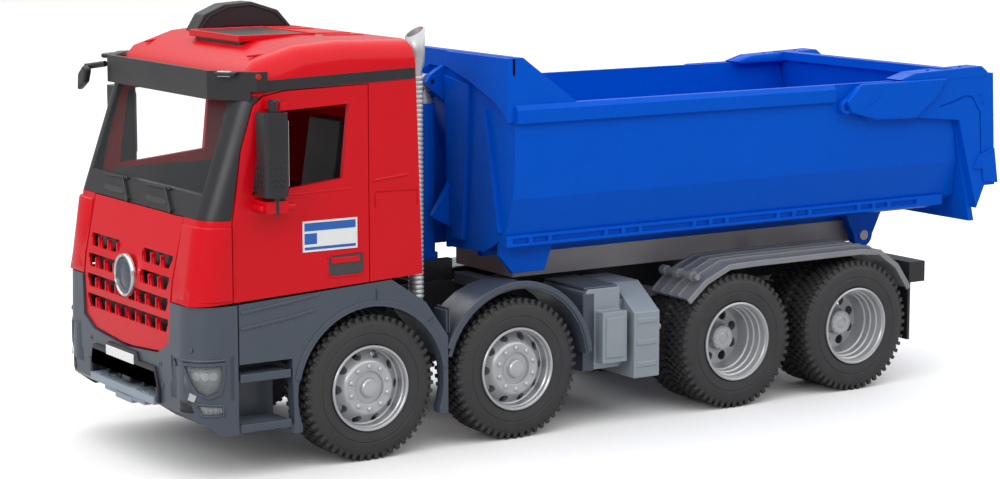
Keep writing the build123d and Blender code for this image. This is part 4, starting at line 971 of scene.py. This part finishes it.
# %% Fenders and steps
lips = [ribbon(arc(A1, TYRE_R + 6.6, 8, 168), 2.6, "X", HALF - 1.5, HALF + 0.7, 0.35),
        ribbon(arc(A1, TYRE_R + 5.3, 8, 168), 0.9, "X", HALF - 1.5, HALF + 1.0, 0.3)]
seam_marks = [bar((HALF + 0.55, A1 + 3.2, 82.4), (HALF + 0.55, A1 + 3.0, 88.5), 0.5, 0.5, 0.1),
              bar((HALF + 0.55, A1 + 31.7, 67.2), (HALF + 0.55, A1 + 36.5, 70.5), 0.5, 0.5, 0.1)]
second = AXLES[1]
lips += [ribbon(arc(second, TYRE_R + 8.3, 6, 160), 2.4, "X", HALF - 1.5, HALF + 0.6, 0.4),
         ribbon(arc(second, TYRE_R + 6.9, 6, 160), 0.8, "X", HALF - 1.5, HALF + 0.9, 0.3)]
ridges = [side_plate([(-74, 83.6), (-44, 87.0), (-30, 89.2)], (-1, 0.7), 0.4, 1.6),
          side_plate([(-74, 75.6), (-46, 79.0), (-33, 81.4)], (-1, 0.7), 0.4, 1.6)]
skirt = [box((HALF - 14, HALF - 2), (A1 + 45.4 + 1.6 * i, A1 + 46.3 + 1.6 * i), (61, 73 + 1.2 * i), 0.3)
         for i in range(2)]
tread_bars = [box((HALF - 18 + 1.9 * i, HALF - 17 + 1.9 * i), (A1 - 73, A1 - 48), (26.8, 27.7), 0.2)
              for i in range(8)]
tread_bars += [box((HALF - 14 + 1.9 * i, HALF - 13 + 1.9 * i), (A1 - 73, A1 - 48), (51.8, 52.7), 0.2)
               for i in range(6)]
step_lips = [side_box((-2.2, -0.4), (-74.2, -46), (low, low + 4.2), 0.4)
             for low in (23.5, 48.6)]
finished(both(joined(lips + ridges + seam_marks)), "fender_lips_and_ridges", slate)
finished(both(joined(skirt + tread_bars + step_lips)), "step_treads_and_skirt", slate)
print("lips", len(lips))

# %% [markdown]
# The visor carries a small lamp on each corner and a red marker.  Two wipers lie on the cowl.  The exhaust is a
# ribbed tube with a slanted mouth, and the far side has a small hanging mirror.

# %% Visor, wipers, roof mirror and exhaust
lamps = [bar((64, A1 - 78.2, 200), (72, A1 - 71.0, 200), 5.0, 2.2, 0.7)]
lamp_glass = [bar((65.5, A1 - 77.7, 200), (70.6, A1 - 73.2, 200), 3.0, 2.8, 0.4)]
finished(both(joined(lamps)), "visor_lamps", black)
finished(both(joined(lamp_glass)), "visor_lamp_glass", silver)
finished(both(rod((HALF + 0.9, A1 - 63, 198.8), (HALF + 2.0, A1 - 63, 198.8), 1.5, 16)), "visor_markers",
         signal_red)
hanger = [rod((-62, A1 - 79, 196), (-74, A1 - 84, 194), 1.6),
          rod((-74, A1 - 84, 195), (-76, A1 - 86, 189), 1.6),
          plate([(-80, 181), (-71, 186), (-68, 193), (-72, 195), (-79, 190)], "Y", A1 - 88, A1 - 84, 1.2)]
finished(joined(hanger), "front_mirror", black)


def cowl_y(z):
    """Front face of the cowl and windscreen at a height."""
    return A1 - 91 + (z - 129.5) * 23.5 / 67.5


wipers = []
for x in (-30, 20):
    wipers.append(rod((x + 18, cowl_y(131) - 1.0, 131), (x + 6, cowl_y(141) - 1.2, 141), 0.7, 10))
    wipers.append(bar((x - 16, cowl_y(140.5) - 0.9, 140.5), (x + 12, cowl_y(141) - 0.9, 141), 1.0, 1.4, 0.3))
    wipers.append(rod((x + 18, cowl_y(131) + 0.4, 131), (x + 18, cowl_y(131) - 1.6, 131), 1.4, 16))
    wipers.append(plate([(x - 14, 134), (x - 11, 132.4), (x + 9, 132.4), (x + 12, 134), (x + 9, 135.6),
                         (x - 11, 135.6)], "Y", cowl_y(134) - 0.7, cowl_y(134) + 1, 0.4))
finished(joined(wipers), "wipers_and_vents", black)
stack_x, stack_y = 60, A1 + 37
RIB_PITCH = 2.4
one_rib = ((0, 3.6), (0.7, 4.1), (1.5, 4.1), (2.2, 3.6))
pipe = turned([(77, 3.6)] + [(78 + RIB_PITCH * i + d, r) for i in range(48) for d, r in one_rib]
              + [(196, 3.7), (200, 5.0), (218, 5.2)], (stack_x, stack_y, 0), 32, "Z", closed=False)
bore = rod((stack_x, stack_y, 201), (stack_x, stack_y, 222), 4.3, 32, 0)
cut(pipe, [bore])
slant = plate([(stack_y - 12, 208.5), (stack_y + 12, 222.5), (stack_y + 12, 232), (stack_y - 12, 232)], "X",
              stack_x - 12, stack_x + 12, 0)
cut(pipe, [slant])
clamps = [box((stack_x - 12, stack_x), (stack_y - 2, stack_y + 2), (z, z + 3), 0.4) for z in (95, 150)]
foot = box((22, 60), (stack_y - 2, stack_y + 2), (71.5, 78.5), 0.5)
exhaust = joined([pipe, foot] + clamps)
finished(exhaust, "moulded_exhaust_stack", silver, instead_of="exhaust_stack")
ridge = ribbon(behind([(-33, 213), (-27, 220), (-16, 224.4), (-2, 225.3), (12, 220.8), (20, 213)]),
               1.0, "X", -44.6, -43.4, 0.3)
finished(ridge, "intake_line", black)
print("cab top done")

# %% [markdown]
# The tipping body is a tub of thin wall with stiffening ribs.  The rim is a folded edge, so its upper outer corner
# is cut off at a slant.  The bottom rail has shallow pockets in a short-short-long rhythm.  The front wall has two
# broad ribs, two narrow ones and a leaning collar under the headboard.

# %% Tipping body
BED_Y = A1 + 87
rim_cut = plate([(76.9, 177.2), (80.5, 177.2), (80.5, 172.6)], "Y", BED_Y - 3, 143, 0)
pockets = []
spot = BED_Y + 4
for length in (10, 10, 34, 9, 9, 34, 9, 9, 34, 9, 9, 34, 9, 9, 20):
    if spot + length > REAR_Y - 33:
        break
    pockets.append(box((67.4, 70.5), (spot, spot + length), (102.6, 105.4), 0))
    spot += length + 2.4
tub = solid_copy("bed")
cut(tub, [both(joined([rim_cut] + pockets))])
rounded(tub, 0.35, 9)
wall = [plate([(18.5, 100), (28.7, 100), (35.6, 184), (9.5, 188)], "Y", BED_Y - 2.4, BED_Y + 0.5, 0.6),
        bar((63.7, BED_Y - 0.8, 108), (49.8, BED_Y - 0.8, 172), 2.6, 2.4, 0.4),
        plate([(16, 201), (77, 201), (77, 167.5), (72, 172), (62, 178), (40, 186), (18, 192)], "Y",
              BED_Y - 4.5, BED_Y + 0.5, 0.5)]
gusset = plate([(BED_Y - 13, 112.5), (BED_Y, 131.5), (BED_Y, 105), (BED_Y - 12, 111)], "X", 13, 15.5, 0.4)
gusset_ribs = [bar((14.2, BED_Y - 12, 113), (14.2, BED_Y, 131), 3.6, 1.4, 0.3)]
bracket = plate([(BED_Y + 1, 103), (BED_Y + 36, 103), (BED_Y + 29.5, 85.5), (BED_Y + 9, 85.5),
                 (BED_Y + 1, 95)], "X", 58, 61, 0.5)
finished(joined([tub, both(joined(wall + [gusset, bracket] + gusset_ribs))]), "moulded_bed", blue, "bed",
         instead_of="bed")
print("pockets", len(pockets), "to", round(spot, 1))

# %% [markdown]
# The tailgate hangs from a pin on each side.  A thick bevelled cover hides the pin, a bent groove follows the
# side plate, and small bolts and a claw catch sit along the rear edge.  All of it swings with the tailgate.

# %% Tailgate
side_x = 81.0
groove = [ribbon(behind([(378, 160.4), (386, 162), (398, 165.5), (403, 164.6), (409.5, 155.2), (411, 131)]),
                 1.0, "X", side_x - 0.8, side_x + 2, 0)]
gate = solid_copy("tailgate")
cut(gate, [both(joined(groove))])
rounded(gate, 0.4, 9)
cover_line = behind([(306.5, 167), (317, 176.5), (382, 176.8), (373.5, 166), (358, 154.8), (328, 155.6),
                     (310, 160.5)])
hinge_cover = plate(cover_line, "X", side_x - 0.6, side_x + 2.4, 1.1)
cover_ridge = bar((side_x + 2.5, A1 + 319, 163.4), (side_x + 2.5, A1 + 330, 170), 1.0, 0.9, 0.3)
collar = turned([(0, 4.2), (2.2, 4.2), (2.6, 3.6), (2.6, 2.4), (1.2, 2.0), (1.2, 0.2)],
                (side_x - 2, A1 + 307.5, 164), 24, closed=False)
top_plate = plate(behind([(347, 177.2), (359, 180.6), (410, 182.4), (414.5, 179), (415, 176), (350, 176)]),
                  "X", 68, side_x + 0.3, 0.5)
bolts = [bolt((side_x, A1 + y, z), 1.0, "X", 1)
         for y, z in ((409, 165.7), (411.5, 161), (418.8, 123.5), (419.5, 118))]
bolts += [bolt((75, A1 + y, z), 1.0, "Z", 1) for y, z in ((373, 181.1), (398, 181.9))]
catch = plate(behind([(405, 122.4), (409, 130), (421, 134), (424.4, 113), (413, 114.5), (412, 122)]),
              "X", side_x - 0.8, side_x + 1.2, 0.5)
catch_line = ribbon(behind([(406.5, 124), (411, 130.5), (420, 133.4)]), 0.9, "X",
                    side_x + 0.6, side_x + 1.7, 0.3)
gate_side = both(joined([hinge_cover, cover_ridge, collar, top_plate, catch, catch_line] + bolts))
inner_ribs = [bar((x, A1 + 402.0, 120), (x, A1 + 387.6, 176), 3.0, 2.0, 0.4) for x in (-58, -36, -12, 12, 36,
                                                                                       58)]
rear_ribs = [bar((x, A1 + 414.0, 98), (x, A1 + 393.6, 178), 4.0, 2.4, 0.6) for x in (-60, -30, 0, 30, 60)]
rear_ribs.append(bar((-72, A1 + 403.2, 142), (72, A1 + 403.2, 142), 3.0, 2.4, 0.6))
gate = finished(joined([gate, gate_side] + inner_ribs + rear_ribs), "moulded_tailgate", blue, "tailgate",
                instead_of="tailgate")
print("tailgate faces", len(gate.data.polygons))

# %% [markdown]
# Behind the cab the toy carries a tank, a box and the rear mudguards.  The mudguards have long shallow ribs that
# run over the top, and a hinge bar with three knobs at the front.

# %% Mudguards, tank and rear lamps
guard_top = [(AXLES[2] + y, z) for y, z in ((-33, 64), (-21, 74), (-5, 81), (13, 81.5))]
guard_top += [(AXLES[3] + y, z) for y, z in ((3, 81.5), (18, 80), (31, 71), (41, 57))]
guard_ribs = [ribbon([(y, z + 0.4) for y, z in guard_top], 1.5, "X", x - 0.9, x + 0.9, 0.4)
              for x in (44, 52, 60, 68)]
guard_ribs.append(ribbon([(y, z - 1.6) for y, z in guard_top], 3.4, "X", HALF - 1.2, HALF + 0.7, 0.5))
hinge = [rod((43, AXLES[2] - 26, 75.5), (HALF - 1, AXLES[2] - 26, 75.5), 1.9)]
hinge += [rod((x - 2.4, AXLES[2] - 26, 75.5), (x + 2.4, AXLES[2] - 26, 75.5), 2.9) for x in (47, 59, 71)]
finished(both(joined(guard_ribs + hinge)), "mudguard_ribs", graphite)
tank_front = AXLES[1] + 46.5
front_box = box((28.5, HALF - 7.6), (tank_front - 0.6, tank_front + 7), (29.5, 72), 0.8)
lid = box((30, HALF - 9), (tank_front + 1, tank_front + 23), (73.4, 75.2), 0.6)
finished(joined([front_box, lid]), "tank_front_box", slate)
tank_bits = [box((HALF - 1.4, HALF - 0.2), (tank_front + 10, tank_front + 22), (37, 59), 0.5),
             *(box((HALF - 0.6, HALF + 0.5), (tank_front + 30, tank_front + 43), (low, low + 3), 0.4)
               for low in (30, 42, 54)),
             rod((HALF - 13, tank_front + 16, 62), (HALF - 13, tank_front + 16, 65.4), 3.2, 24),
             rod((HALF - 6, tank_front + 46, 50), (HALF - 6, tank_front + 49, 50), 2.0)]
finished(joined(tank_bits), "tank_trim", tank_grey)
bar_rear = AXLES[3] + 55
for name, finish, x in (("rear_lamps_red", signal_red, (60, 73)),
                        ("rear_lamps_amber", signal_amber, (50, 59))):
    finished(both(box(x, (bar_rear - 0.6, bar_rear + 1.0), (60, 68), 0.5)), name, finish)
finished(box((-17, 17), (bar_rear - 0.4, bar_rear + 0.5), (65, 69.5), 0.2), "blank_rear_plate", label_white)
flap_ribs = [box((x, x + 1.2), (bar_rear - 9.4, bar_rear - 8.8), (28, 55), 0.3) for x in (48, 56, 64)]
finished(both(joined(flap_ribs)), "mudflap_ribs", black)
print("boxes and lamps done")
